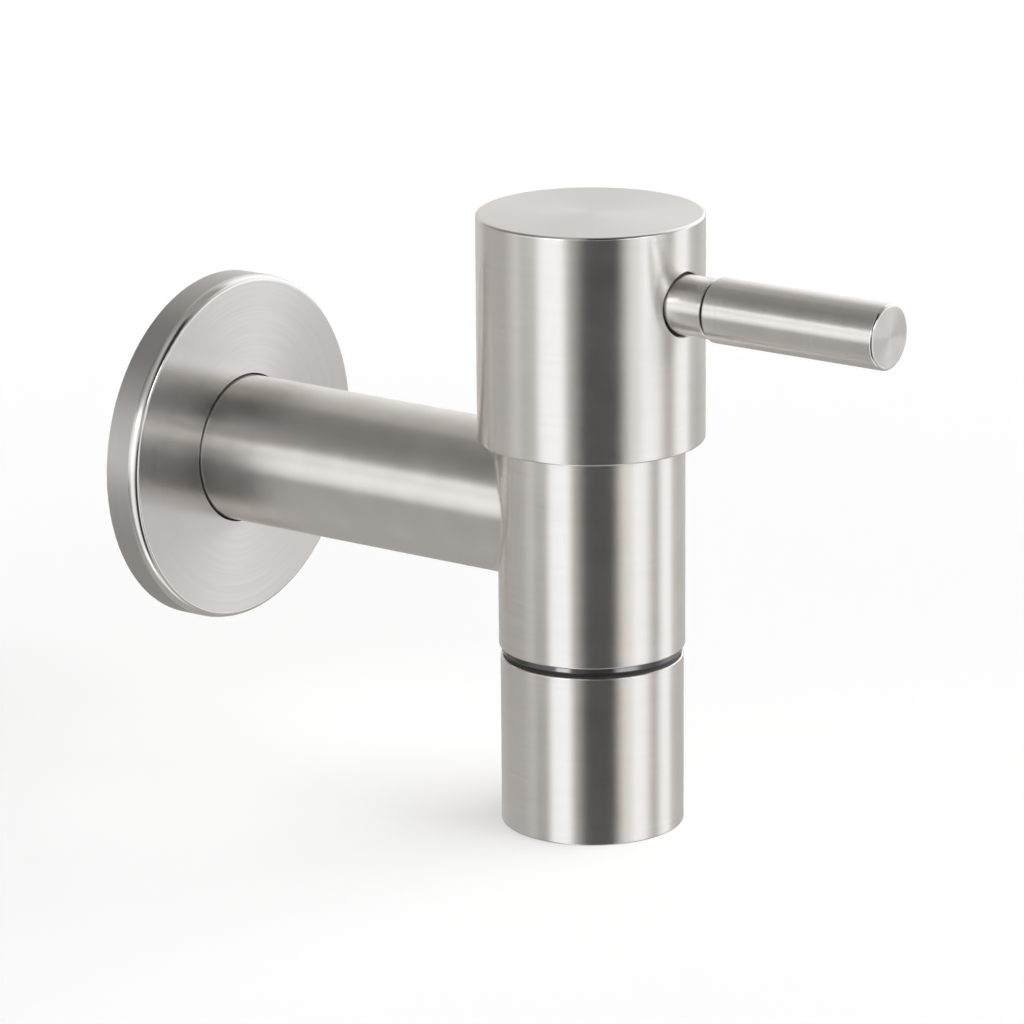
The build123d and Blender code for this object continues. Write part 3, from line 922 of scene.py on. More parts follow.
@dataclass
class ArmAndBarrel:
    """Arm and barrel, dressed smooth where they meet and bored as one piece."""

    reach: float
    barrel_radius: float
    barrel_top: float
    spigot_foot: float
    wall_gap: float
    barrel_foot: float
    glide_groove: tuple[float, float]
    glide_groove_radius: float
    ring_seat: tuple[float, float]
    glide_groove_depth: float = 0.9
    seal_room: float = 0.07
    arm_radius: float = 12.2
    saddle_radius: float = 1.2
    edge_radius: float = 0.28
    arm_bore_radius: float = 7.5
    tapped_bore_radius: float = 10.5
    tapped_depth: float = 14.0
    headwork_bore_radius: float = 10.48
    chamber_radius: float = 11.5
    chamber_level: float = 8.0
    seat_ledge: float = 1.0
    seat_bore_radius: float = 6.5
    seat_thickness: float = 4.0
    outlet_radius: float = 9.5
    spigot_radius: float = 11.95
    spigot_lead: float = 0.5
    relief_radius: float = 11.15
    relief_length: float = 2.2
    patch_levels: tuple[float, float] = (-18.5, 14.6)
    patch_half_angle: float = math.radians(76.0)
    chamber_half_angle: float = math.radians(62.0)
    arm_rows: int = 20
    arm_end_length: float = 1.0
    saddle_rows: int = 8
    spigot_thread: Thread = Thread(pitch=1.0, depth=0.45)
    finishes: tuple[TurnedMetal, ...] = (BRUSHED, EDGE, TURNED_PAINTED_SHADE)

    @classmethod
    def from_frame(cls) -> "ArmAndBarrel":
        """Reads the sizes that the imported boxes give.

        Returns:
            The pieces with their sizes.
        """
        body, cap, bead = Span.of("tap_body"), Span.of("handle_cap"), Span.of("nozzle_ring")
        glide, seal = Span.of("cap_glide_ring"), Span.of("headwork_o_ring")
        return cls(
            reach=-cap.middle.y,
            barrel_radius=body.half.x,
            barrel_top=body.high.z,
            spigot_foot=body.low.z,
            wall_gap=-body.high.y,
            barrel_foot=bead.high.z + RING_FIT,
            glide_groove=(glide.low.z - RING_FIT, glide.high.z + RING_FIT),
            glide_groove_radius=body.half.x - cls.glide_groove_depth,
            ring_seat=(seal.half.x + cls.seal_room, seal.low.z - SEAT_FIT),
        )

    @property
    def barrel(self) -> Axle:
        """Barrel's axis, with angles from the wall side."""
        return Axle(OUT * self.reach, UP, -OUT)

    @property
    def arm(self) -> Axle:
        """Arm's axis, from the barrel's axis to the wall."""
        return self.barrel.branch(0.0)

    @property
    def arm_end(self) -> float:
        """Place of the arm's end along its axis."""
        return self.reach - self.wall_gap

    def build(self) -> None:
        """Builds the piece."""
        draft, radius = MeshDraft(), self.barrel_radius
        saddle, end_rim = self.add_arm(draft)
        wall = draft.pierced_wall(self.barrel, radius, self.patch_levels, saddle, self.patch_half_angle)
        chamber = self.add_waterway(draft, end_rim)
        self.add_top(draft, wall, chamber)
        self.add_spigot(draft, wall, chamber)
        materials = dress(self.finishes, self.barrel, radius)
        materials.append(ARM.material(self.arm, self.arm_radius))
        draft.deliver("arm_and_barrel", materials, Body.FIXED, Slot.BODY_STEEL, "tap_body")

    def add_arm(self, draft: MeshDraft) -> tuple[tuple[list[int], HolePlaces], list[int]]:
        """Adds the arm's side and the saddle between arm and barrel.

        Args:
            draft: the mesh in hand.

        Returns:
            The saddle's rim on the barrel with the angle and level of each of its points, and the rim
            in the arm's tapped end.
        """
        arm, ball, bore = self.arm, self.saddle_radius, self.tapped_bore_radius
        side_end = self.arm_end - self.arm_end_length
        outwards = [arm.outward(step) for step in HOLE_ANGLES]
        centres, depths = [], []
        for step in HOLE_ANGLES:
            aside = (self.arm_radius + ball) * math.cos(step)
            depths.append(math.sqrt((self.barrel_radius + ball) ** 2 - aside**2))
            centres.append(arm.point(self.arm_radius + ball, step, depths[-1]))
        saddle_rim = rim = draft.add_points(
            arm.point(self.arm_radius, step, depth) for step, depth in zip(HOLE_ANGLES, depths)
        )
        for row in range(1, self.arm_rows + 1):
            share = row / self.arm_rows
            following = draft.add_points(
                arm.point(self.arm_radius, step, depth + (side_end - depth) * share)
                for step, depth in zip(HOLE_ANGLES, depths)
            )
            draft.bridge(rim, following, outwards, zone=Zone.EXTRA)
            rim = following
        face = Outline(
            (side_end, self.arm_radius),
            (self.arm_end, self.arm_radius, self.edge_radius),
            (self.arm_end, bore, FINE_EDGE),
            (self.arm_end - self.tapped_depth, bore),
        )
        end_rim = draft.turn(arm, face, HOLE_ANGLES, start=rim, zone=Zone.EXTRA)
        towards = [Vector((centre.x, centre.y + self.reach, 0.0)).normalized() for centre in centres]
        rim, rim_normals = saddle_rim, outwards
        for row in range(1, self.saddle_rows + 1):
            normals = [out.slerp(way, row / self.saddle_rows) for out, way in zip(outwards, towards)]
            following = draft.add_points(
                centre - normal * ball for centre, normal in zip(centres, normals)
            )
            draft.bridge(rim, following, rim_normals, normals)
            rim, rim_normals = following, normals
        places = []
        for number in rim:
            point = draft.points[number] - self.barrel.origin
            places.append((math.asin(point.dot(self.barrel.side) / self.barrel_radius), point.z))
        return (rim, places), end_rim

    def add_waterway(self, draft: MeshDraft, end_rim: Sequence[int]) -> Wall:
        """Adds the bore from the wall to the chamber, and the chamber's wall.

        Args:
            draft: the mesh in hand.
            end_rim: numbers of the rim in the arm's tapped end.

        Returns:
            The chamber's closed rims.
        """
        mouth = draft.hole_rim(self.barrel, 0.0, self.chamber_radius, self.arm_bore_radius)
        shoulder_level = self.arm_end - self.tapped_depth
        shoulder = draft.add_ring(self.arm, self.arm_bore_radius, HOLE_ANGLES, shoulder_level)
        draft.bridge(mouth[0], shoulder, [-self.arm.outward(step) for step in HOLE_ANGLES])
        draft.bridge(shoulder, end_rim, [self.arm.along] * len(shoulder))
        return draft.pierced_wall(
            self.barrel,
            self.chamber_radius,
            (-self.chamber_level, self.chamber_level),
            mouth,
            self.chamber_half_angle,
            Facing.INWARD,
            rings=4,
        )

    def add_top(self, draft: MeshDraft, wall: Wall, chamber: Wall) -> None:
        """Adds the barrel's top with the glide ring's groove and the headwork's bore.

        Args:
            draft: the mesh in hand.
            wall: the barrel's outer wall.
            chamber: the chamber's wall.
        """
        outer, groove, bore = self.barrel_radius, self.glide_groove_radius, self.headwork_bore_radius
        low, high = self.glide_groove
        seat_radius, seat_level = self.ring_seat
        outline = Outline(
            (self.patch_levels[1], outer),
            (low, outer, SHARP_EDGE),
            (low, groove),
            (high, groove),
            (high, outer, SHARP_EDGE),
            (self.barrel_top, outer, self.edge_radius),
            (self.barrel_top, seat_radius),
            (seat_level, seat_radius),
            (seat_level, bore),
            (self.chamber_level, bore),
        )
        rim = draft.turn(self.barrel, outline, wall.angles, start=wall.top)
        draft.weld(rim, chamber.top, wall.angles, chamber.angles, -UP)

    def add_spigot(self, draft: MeshDraft, wall: Wall, chamber: Wall) -> None:
        """Adds the barrel's foot, the threaded spigot, the outlet and the seat.

        Args:
            draft: the mesh in hand.
            wall: the barrel's outer wall.
            chamber: the chamber's wall.
        """
        barrel, outer, foot, crest = self.barrel, self.barrel_radius, self.barrel_foot, self.spigot_radius
        levels = (foot - self.relief_length, self.spigot_foot + self.spigot_lead)
        shoulder = Outline(
            (levels[0], crest),
            (levels[0], self.relief_radius),
            (foot, self.relief_radius, SMALL_EDGE),
            (foot, outer, self.edge_radius),
            (self.patch_levels[0], outer),
        )
        top_rim = draft.add_ring(barrel, crest, wall.angles, levels[0])
        draft.turn(barrel, shoulder, wall.angles, start=top_rim, end=wall.bottom)
        rim = draft.threaded_wall(barrel, wall.angles, top_rim, levels, crest, self.spigot_thread)
        seat_top, seat_edge = -self.chamber_level, self.chamber_radius - self.seat_ledge
        seat_foot = seat_top - self.seat_thickness
        outlet = Outline(
            (seat_top, seat_edge),
            (seat_top, self.seat_bore_radius, FINE_EDGE),
            (seat_foot, self.seat_bore_radius, FINE_EDGE),
            (seat_foot, self.outlet_radius),
            (self.spigot_foot, self.outlet_radius, FINE_EDGE),
            (self.spigot_foot, crest - self.spigot_lead),
            (levels[1], crest),
        )
        start = draft.add_ring(barrel, seat_edge, wall.angles, seat_top)
        draft.turn(barrel, outlet, wall.angles, start=start, end=rim)
        draft.weld(start, chamber.bottom, wall.angles, chamber.angles, UP)


@dataclass
class WallFlange:
    """Turned flange with a recessed back and a hub that carries a sealing ring."""

    radius: float
    thickness: float
    hole_radius: float = 12.5
    face_wall: float = 1.8
    rim_wall: float = 2.6
    hub_wall: float = 3.6
    bevel_run: float = 1.0
    bevel_drop: float = 0.53
    rim_rounding: float = 2.6
    face_rounding: float = 0.8
    hole_edge_radius: float = 0.16
    groove: tuple[float, float] = (1.55, 3.65)
    groove_radius: float = 14.3
    facets: int = 256
    mark_radius: float = 0.75              # share of the radius where the turning marks are measured
    # The side's steel is darkened as painted shade.
    finishes: tuple[TurnedMetal, ...] = (RIM_PAINTED_SHADE, EDGE, TURNED_PAINTED_SHADE)

    @classmethod
    def from_frame(cls) -> "WallFlange":
        """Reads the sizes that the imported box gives."""
        box = Span.of("wall_flange")
        return cls(radius=box.half.x, thickness=box.half.y * 2)

    def build(self) -> None:
        """Builds the piece."""
        axle = Axle(Vector((0, 0, 0)), OUT, SIDE)
        top, floor = self.thickness, self.thickness - self.face_wall
        hole, hub, inner = self.hole_radius, self.hole_radius + self.hub_wall, self.radius - self.rim_wall
        low, high = self.groove
        outline = Outline(
            (0.0, inner, SMALL_EDGE),
            (0.0, self.radius, FINE_EDGE),
            (top - self.bevel_run, self.radius, self.rim_rounding, Zone.EDGE),
            (top, self.radius - self.bevel_drop, self.face_rounding, Zone.FACE),
            (top, hole, self.hole_edge_radius),
            (high, hole),
            (high, self.groove_radius),
            (low, self.groove_radius),
            (low, hole),
            (0.0, hole, FINE_EDGE),
            (0.0, hub, SMALL_EDGE),
            (floor, hub, ROOT_EDGE),
            (floor, inner, ROOT_EDGE),
            closed=True,
        )
        draft = MeshDraft()
        draft.turn(axle, outline, round_angles(self.facets))
        materials = dress(self.finishes, axle, self.radius * self.mark_radius)
        draft.deliver("flange_shell", materials, Body.FLANGE, Slot.FLANGE_STEEL, "wall_flange")


@dataclass
class HandleCap:
    """Cap over the barrel, with a side hole for the lever."""

    reach: float
    radius: float
    foot: float
    top: float
    lever_height: float
    hole_radius: float
    hub_radius: float
    hub_top: float
    skirt_radius: float
    hole_gap: float = 0.35
    skirt_wall: float = 1.6
    skirt_top: float = 30.2
    ledge_width: float = 0.6
    pocket_radius: float = 7.0
    pocket_top: float = 44.9
    edge_radius: float = 0.5
    hole_edge: float = 0.16
    patch_drop: float = 6.1
    patch_rise: float = 5.5
    patch_half_angle: float = math.radians(34.0)
    inner_half_angle: float = math.radians(52.0)
    finishes: tuple[TurnedMetal, ...] = (BRUSHED, EDGE, SATIN)

    @classmethod
    def from_frame(cls) -> "HandleCap":
        """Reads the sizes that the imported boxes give.

        Returns:
            The pieces with their sizes.
        """
        cap, grip, neck = Span.of("handle_cap"), Span.of("lever_grip"), Span.of("lever_neck")
        hub = Span.of("handle_hub")
        return cls(
            reach=-cap.middle.y,
            radius=cap.half.x,
            foot=cap.low.z,
            top=cap.high.z,
            lever_height=grip.middle.z,
            hole_radius=neck.half.z + cls.hole_gap,
            hub_radius=hub.half.x + SEAT_FIT,
            hub_top=hub.high.z,
            skirt_radius=cap.half.x - cls.skirt_wall,
        )

    @property
    def axle(self) -> Axle:
        """Cap's axis, with angles from the lever's side."""
        return Axle(OUT * self.reach, UP, OUT)

    def build(self) -> None:
        """Builds the piece."""
        draft, axle, height = MeshDraft(), self.axle, self.lever_height
        patch, hub = (height - self.patch_drop, height + self.patch_rise), self.hub_radius
        outer_hole = draft.hole_rim(axle, height, self.radius, self.hole_radius + self.hole_edge)
        outer = draft.pierced_wall(axle, self.radius, patch, outer_hole, self.patch_half_angle, rings=8)
        ledge_rim, _ = draft.hole_rim(axle, height, self.radius - self.hole_edge, self.hole_radius)
        inner_hole = draft.hole_rim(axle, height, hub, self.hole_radius)
        inner = draft.pierced_wall(
            axle,
            hub,
            (self.skirt_top, self.hub_top),
            inner_hole,
            self.inner_half_angle,
            Facing.INWARD,
            rings=4,
            columns=60,
        )
        lever = axle.branch(height)
        outwards = [lever.outward(step) for step in HOLE_ANGLES]
        slant = [(lever.along - out).normalized() for out in outwards]
        draft.bridge(outer_hole[0], ledge_rim, slant, zone=Zone.EDGE)
        draft.bridge(ledge_rim, inner_hole[0], [-out for out in outwards])
        crown = Outline(
            (patch[1], self.radius),
            (self.top, self.radius, self.edge_radius, Zone.FACE),
            (self.top, 0.0),
        )
        draft.turn(axle, crown, outer.angles, start=outer.top)
        ledge = hub + self.ledge_width
        skirt = Outline(
            (self.skirt_top, ledge),
            (self.skirt_top, self.skirt_radius, SOFT_EDGE),
            (self.foot, self.skirt_radius, SMALL_EDGE),
            (self.foot, self.radius, SOFT_EDGE),
            (patch[0], self.radius),
        )
        start = draft.add_ring(axle, ledge, outer.angles, self.skirt_top)
        draft.turn(axle, skirt, outer.angles, start=start, end=outer.bottom)
        draft.weld(start, inner.bottom, outer.angles, inner.angles, -UP)
        pocket = Outline(
            (self.pocket_top, 0.0),
            (self.pocket_top, self.pocket_radius, SOFT_EDGE),
            (self.hub_top, self.pocket_radius),
            (self.hub_top, hub),
        )
        draft.turn(axle, pocket, inner.angles, end=inner.top)
        materials = dress(self.finishes, axle, self.radius)
        draft.deliver("cap_shell", materials, Body.HANDLE, Slot.CAP_STEEL, "handle_cap")


@dataclass
class Lever:
    """Pin lever: a neck, a fine groove and a thicker grip."""

    reach: float
    height: float
    neck_start: float
    neck_radius: float
    grip_start: float
    grip_end: float
    grip_radius: float
    tail_end: float
    groove_width: float = 0.6
    groove_depth: float = 0.5
    edge_radius: float = 0.22
    tip_edge_radius: float = 0.5
    tail_radius: float = 2.95
    stud_radius: float = 2.98
    stud_end: float = 17.53
    hole_end: float = 36.5
    finishes: tuple[TurnedMetal, ...] = (BRUSHED, EDGE, TURNED_PAINTED_SHADE)

    @classmethod
    def from_frame(cls) -> "Lever":
        """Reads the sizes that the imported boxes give.

        Returns:
            The pieces with their sizes.
        """
        cap, grip, neck = Span.of("handle_cap"), Span.of("lever_grip"), Span.of("lever_neck")
        reach = -cap.middle.y
        return cls(
            reach=reach,
            height=grip.middle.z,
            neck_start=-neck.high.y - reach,
            neck_radius=neck.half.z,
            grip_start=-grip.high.y - reach,
            grip_end=-grip.low.y - reach,
            grip_radius=grip.half.z,
            tail_end=-neck.low.y - reach,
        )

    @property
    def axle(self) -> Axle:
        """Lever's axis, out from the barrel's axis."""
        return Axle(OUT * self.reach + UP * self.height, OUT, SIDE)

    def neck(self) -> Outline:
        """Draws the neck with its stud hole, groove and tail.

        Returns:
            The outline.
        """
        neck_end = self.grip_start - self.groove_width
        waist = self.neck_radius - self.groove_depth
        return Outline(
            (self.stud_end, 0.0),
            (self.stud_end, self.stud_radius),
            (self.neck_start, self.stud_radius),
            (self.neck_start, self.neck_radius, self.edge_radius),
            # The groove's stretches take the steel with the painted groove shade.
            (neck_end, self.neck_radius, self.edge_radius, Zone.EXTRA),
            (neck_end, waist, 0.0, Zone.EXTRA),
            (self.grip_start, waist, 0.0, Zone.EXTRA),
            (self.grip_start, self.tail_radius),
            (self.tail_end, self.tail_radius, self.edge_radius),
            (self.tail_end, 0.0),
        )

    def grip(self) -> Outline:
        """Draws the grip with its hole.

        Returns:
            The outline.
        """
        return Outline(
            (self.hole_end, 0.0),
            (self.hole_end, self.stud_radius),
            (self.grip_start, self.stud_radius, SHARP_EDGE),
            (self.grip_start, self.grip_radius, self.edge_radius),
            (self.grip_end, self.grip_radius, self.tip_edge_radius, Zone.FACE),
            (self.grip_end, 0.0),
        )

    def build(self) -> None:
        """Builds both pieces."""
        materials = dress(self.finishes, self.axle, self.grip_radius)
        # The fourth finish paints shade into the lever's groove.
        materials.append(GROOVE_PAINTED_SHADE.material(self.axle, self.neck_radius))
        for node, outline in (("lever_neck", self.neck()), ("lever_grip", self.grip())):
            draft = MeshDraft()
            draft.turn(self.axle, outline)
            draft.deliver(f"{node}_turned", materials, Body.HANDLE, Slot.LEVER_STEEL, node)


@dataclass
class Nozzle:
    """Nozzle sleeve with its tapped bore, and the dark ring above it."""

    reach: float
    radius: float
    top: float
    foot: float
    bead_radius: float
    bead_top: float
    bead_foot: float
    tapped_radius: float = 12.0
    tapped_lead: float = 0.6
    shoulder: float = -35.0
    aerator_radius: float = 10.93
    lip_radius: float = 9.6
    lip_height: float = 1.2
    bead_height: float = 0.9
    bead_slant: float = math.radians(21.0)
    bead_edge_radius: float = 0.14
    bead_neck_inset: float = 0.7
    bead_bore_radius: float = 11.18
    thread: Thread = Thread(pitch=1.0, depth=0.42)
    finishes: tuple[TurnedMetal, ...] = (BRUSHED, EDGE, TURNED_PAINTED_SHADE)

    @classmethod
    def from_frame(cls) -> "Nozzle":
        """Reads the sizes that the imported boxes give.

        Returns:
            The pieces with their sizes.
        """
        sleeve, bead = Span.of("nozzle_sleeve"), Span.of("nozzle_ring")
        return cls(
            reach=-sleeve.middle.y,
            radius=sleeve.half.x,
            top=sleeve.high.z,
            foot=sleeve.low.z,
            bead_radius=bead.half.x,
            bead_top=bead.high.z,
            bead_foot=bead.low.z,
        )

    @property
    def axle(self) -> Axle:
        """Barrel's axis."""
        return Axle(OUT * self.reach, UP, SIDE)

    def build_sleeve(self) -> None:
        """Builds the sleeve."""
        draft, axle, bore = MeshDraft(), self.axle, self.tapped_radius
        lip_top = self.foot + self.lip_height
        levels = (self.shoulder + self.tapped_lead, self.top - self.tapped_lead)
        foot_rim = draft.add_ring(axle, bore, ROUND_ANGLES, levels[0])
        top_rim = draft.threaded_wall(
            axle, ROUND_ANGLES, foot_rim, levels, bore, self.thread, Facing.INWARD
        )
        outline = Outline(
            (levels[0], bore),
            (self.shoulder, bore),
            (self.shoulder, self.aerator_radius),
            (lip_top, self.aerator_radius),
            (lip_top, self.lip_radius),
            (self.foot, self.lip_radius, SMALL_EDGE),
            (self.foot, self.radius, SOFT_EDGE),
            (self.top, self.radius, SOFT_EDGE),
            (self.top, bore, SOFT_EDGE),
            (levels[1], bore),
        )
        draft.turn(axle, outline, start=foot_rim, end=top_rim)
        materials = dress(self.finishes, axle, self.radius)
        draft.deliver("nozzle_barrel", materials, Body.NOZZLE, Slot.NOZZLE_STEEL, "nozzle_sleeve")

    def build_bead(self) -> None:
        """Builds the ring above the sleeve: a dull neck under a glossy slanted face."""
        low = self.bead_top - self.bead_height
        brow = self.bead_radius - self.bead_height * math.tan(self.bead_slant)
        neck = self.bead_radius - self.bead_neck_inset
        outline = Outline(
            (self.bead_foot, self.bead_bore_radius),
            (self.bead_foot, neck),
            (low, neck),
            (low, self.bead_radius, self.bead_edge_radius, Zone.EDGE),
            (self.bead_top, brow, self.bead_edge_radius),
            (self.bead_top, self.bead_bore_radius),
            closed=True,
        )
        draft = MeshDraft()
        draft.turn(self.axle, outline)
        materials = [RING_RUBBER.material(), BEAD_RUBBER.material()]
        draft.deliver("nozzle_bead", materials, Body.FIXED, Slot.BEAD_RUBBER, "nozzle_ring")


@dataclass
class InletNipple:
    """Pipe nipple with a rounded pipe thread on both ends and a key's socket."""

    radius: float
    inner_end: float
    outer_end: float
    bore_radius: float = 6.0
    relief: tuple[float, float] = (-1.5, 0.0)
    relief_depth: float = 0.9
    inner_lead: float = 0.3
    outer_lead: float = 1.0
    socket_width: float = 13.0
    socket_depth: float = 7.0
    socket_flat: float = math.tau / 6
    brim_width: float = 0.4
    facets: int = 168
    thread: Thread = Thread(pitch=1.814, depth=1.1, runout=1.0, steps=14)

    @classmethod
    def from_frame(cls) -> "InletNipple":
        """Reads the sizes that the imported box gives."""
        box = Span.of("inlet_nipple")
        return cls(radius=box.half.x, inner_end=box.low.y, outer_end=box.high.y)

    @property
    def axle(self) -> Axle:
        """Inlet axis, into the wall."""
        return Axle(Vector((0, 0, 0)), -OUT, SIDE)

    def socket_radius(self, angle: float) -> float:
        """Distance from the axis to the socket's wall at an angle."""
        half = self.socket_flat / 2
        return self.socket_width / 2 / math.cos((angle + half) % self.socket_flat - half)

    def add_socket(self, draft: MeshDraft, angles: Sequence[float], rim: Sequence[int]) -> list[int]:
        """Adds the outer end with the key's socket.

        Args:
            draft: the mesh in hand.
            angles: places of the points round the axis.
            rim: numbers of the outer end's rim.

        Returns:
            Numbers of the points where the bore leaves the socket's floor.
        """
        axle, floor = self.axle, self.outer_end - self.socket_depth
        brim, base = (
            draft.add_points(axle.point(self.socket_radius(angle), angle, level) for angle in angles)
            for level in (self.outer_end, floor)
        )
        bore = draft.add_ring(axle, self.bore_radius, angles, floor)
        ends = [axle.along] * len(angles)
        draft.bridge(rim, brim, ends)
        for k in range(len(angles)):
            middle = angles[k] - math.pi / len(angles)
            normal = -axle.outward(round(middle / self.socket_flat) * self.socket_flat)
            draft.add_face((brim[k - 1], brim[k], base[k], base[k - 1]), (normal,) * 4)
        draft.bridge(base, bore, ends)
        return bore

    def build(self) -> None:
        """Builds the piece."""
        draft, axle, angles = MeshDraft(), self.axle, round_angles(self.facets)
        crest, waist = self.radius, self.radius - self.relief_depth
        inner_start, full_end = self.inner_end + self.inner_lead, self.outer_end - self.outer_lead
        low, high = self.relief
        first = draft.add_ring(axle, crest, angles, inner_start)
        rim = draft.threaded_wall(axle, angles, first, (inner_start, low), crest, self.thread)
        neck = Outline((low, crest), (low, waist, SOFT_EDGE), (high, waist, SOFT_EDGE), (high, crest))
        rim = draft.turn(axle, neck, angles, start=rim)
        rim = draft.threaded_wall(axle, angles, rim, (high, full_end), crest, self.thread)
        mouth = Outline(
            (full_end, crest),
            (self.outer_end, crest - self.outer_lead),
            (self.outer_end, self.socket_radius(self.socket_flat / 2) + self.brim_width),
        )
        rim = draft.turn(axle, mouth, angles, start=rim)
        bore = self.add_socket(draft, angles, rim)
        tube = Outline(
            (self.outer_end - self.socket_depth, self.bore_radius),
            (self.inner_end, self.bore_radius, SMALL_EDGE),
            (self.inner_end, crest - self.inner_lead),
            (inner_start, crest),
        )
        draft.turn(axle, tube, angles, start=bore, end=first)
        materials = [NIPPLE_BRASS.material(axle, crest)] * 2
        draft.deliver("threaded_nipple", materials, Body.FIXED, Slot.NIPPLE_BRASS, "inlet_nipple")


@dataclass
class InnerWorks:
    """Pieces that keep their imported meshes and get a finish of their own."""

    reach: float
    brass: TurnedMetal = replace(NIPPLE_BRASS, name="headwork_brass", roughness=0.30, anisotropy=0.7)
    steel: TurnedMetal = TurnedMetal("fastener_steel", (0.74, 0.73, 0.71), 0.32, 0.6)
    wire: TurnedMetal = TurnedMetal("wire_cloth_steel", (0.70, 0.70, 0.69), 0.38, 0.3)
    ceramic: Moulded = Moulded("polished_ceramic", (0.82, 0.81, 0.77), 0.16, grain=0.5, coat=0.5)
    slide: Moulded = Moulded("white_slide_plastic", (0.80, 0.80, 0.77), 0.42, grain=0.6)
    aerator: Moulded = Moulded("grey_aerator_plastic", (0.42, 0.43, 0.44), 0.38, grain=0.4)
    rubber: Moulded = Moulded("black_seal_rubber", (0.020, 0.020, 0.021), 0.48, grain=0.25, sheen=0.15)

    def dress(self, nodes: dict[str, bpy.types.Object]) -> None:
        """Gives each inner node its finish.

        Args:
            nodes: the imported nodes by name.
        """
        barrel = Axle(OUT * self.reach, UP, SIDE)
        lever = Axle(OUT * self.reach + UP * Span.of("lever_grip").middle.z, OUT, SIDE)
        turned = (
            ("headwork_body", self.brass, barrel, 12.0),
            ("spindle", self.brass, barrel, 5.0),
            ("handle_hub", self.brass, barrel, 10.0),
            ("hub_screw", self.steel, barrel, 3.0),
            ("lever_stud", self.steel, lever, 3.0),
            ("spindle_clip", self.steel, barrel, 5.0),
            ("aerator_screens", self.wire, barrel, 9.0),
        )
        moulded = (
            (self.ceramic, ("ceramic_disc_lower", "ceramic_disc_upper")),
            (self.slide, ("thrust_washer", "cap_glide_ring")),
            (self.aerator, ("aerator_housing", "aerator_jet_plate", "aerator_grid")),
            (self.rubber, ("flange_o_ring", "headwork_o_ring", "seat_seal")),
            (self.rubber, ("spindle_o_rings", "aerator_washer")),
        )
        for name, finish, axle, radius in turned:
            self.give(nodes[name], finish.material(axle, radius))
        for finish, names in moulded:
            for name in names:
                self.give(nodes[name], finish.material())

    @staticmethod
    def give(node: bpy.types.Object, material: bpy.types.Material) -> None:
        """Puts one finish on a whole node.

        Args:
            node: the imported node.
            material: its finish.
        """
        if not node.material_slots:
            node.data.materials.append(material)
        for slot in node.material_slots:
            slot.material = material
        LOG.info("%s gets %s", node.name, material.name)


@dataclass(frozen=True)
class Card:
    """One soft strip of light, or a dark flag, on the inside of the light tent.

    Azimuth, width and fades are in degrees round the tap, from the side that the photograph was taken
    from and rising to the right. Low and high are degrees above the horizon.
    """

    name: str
    azimuth: float
    half_width: float
    fade: float
    low: float
    high: float
    rise_fade: float
    level: float


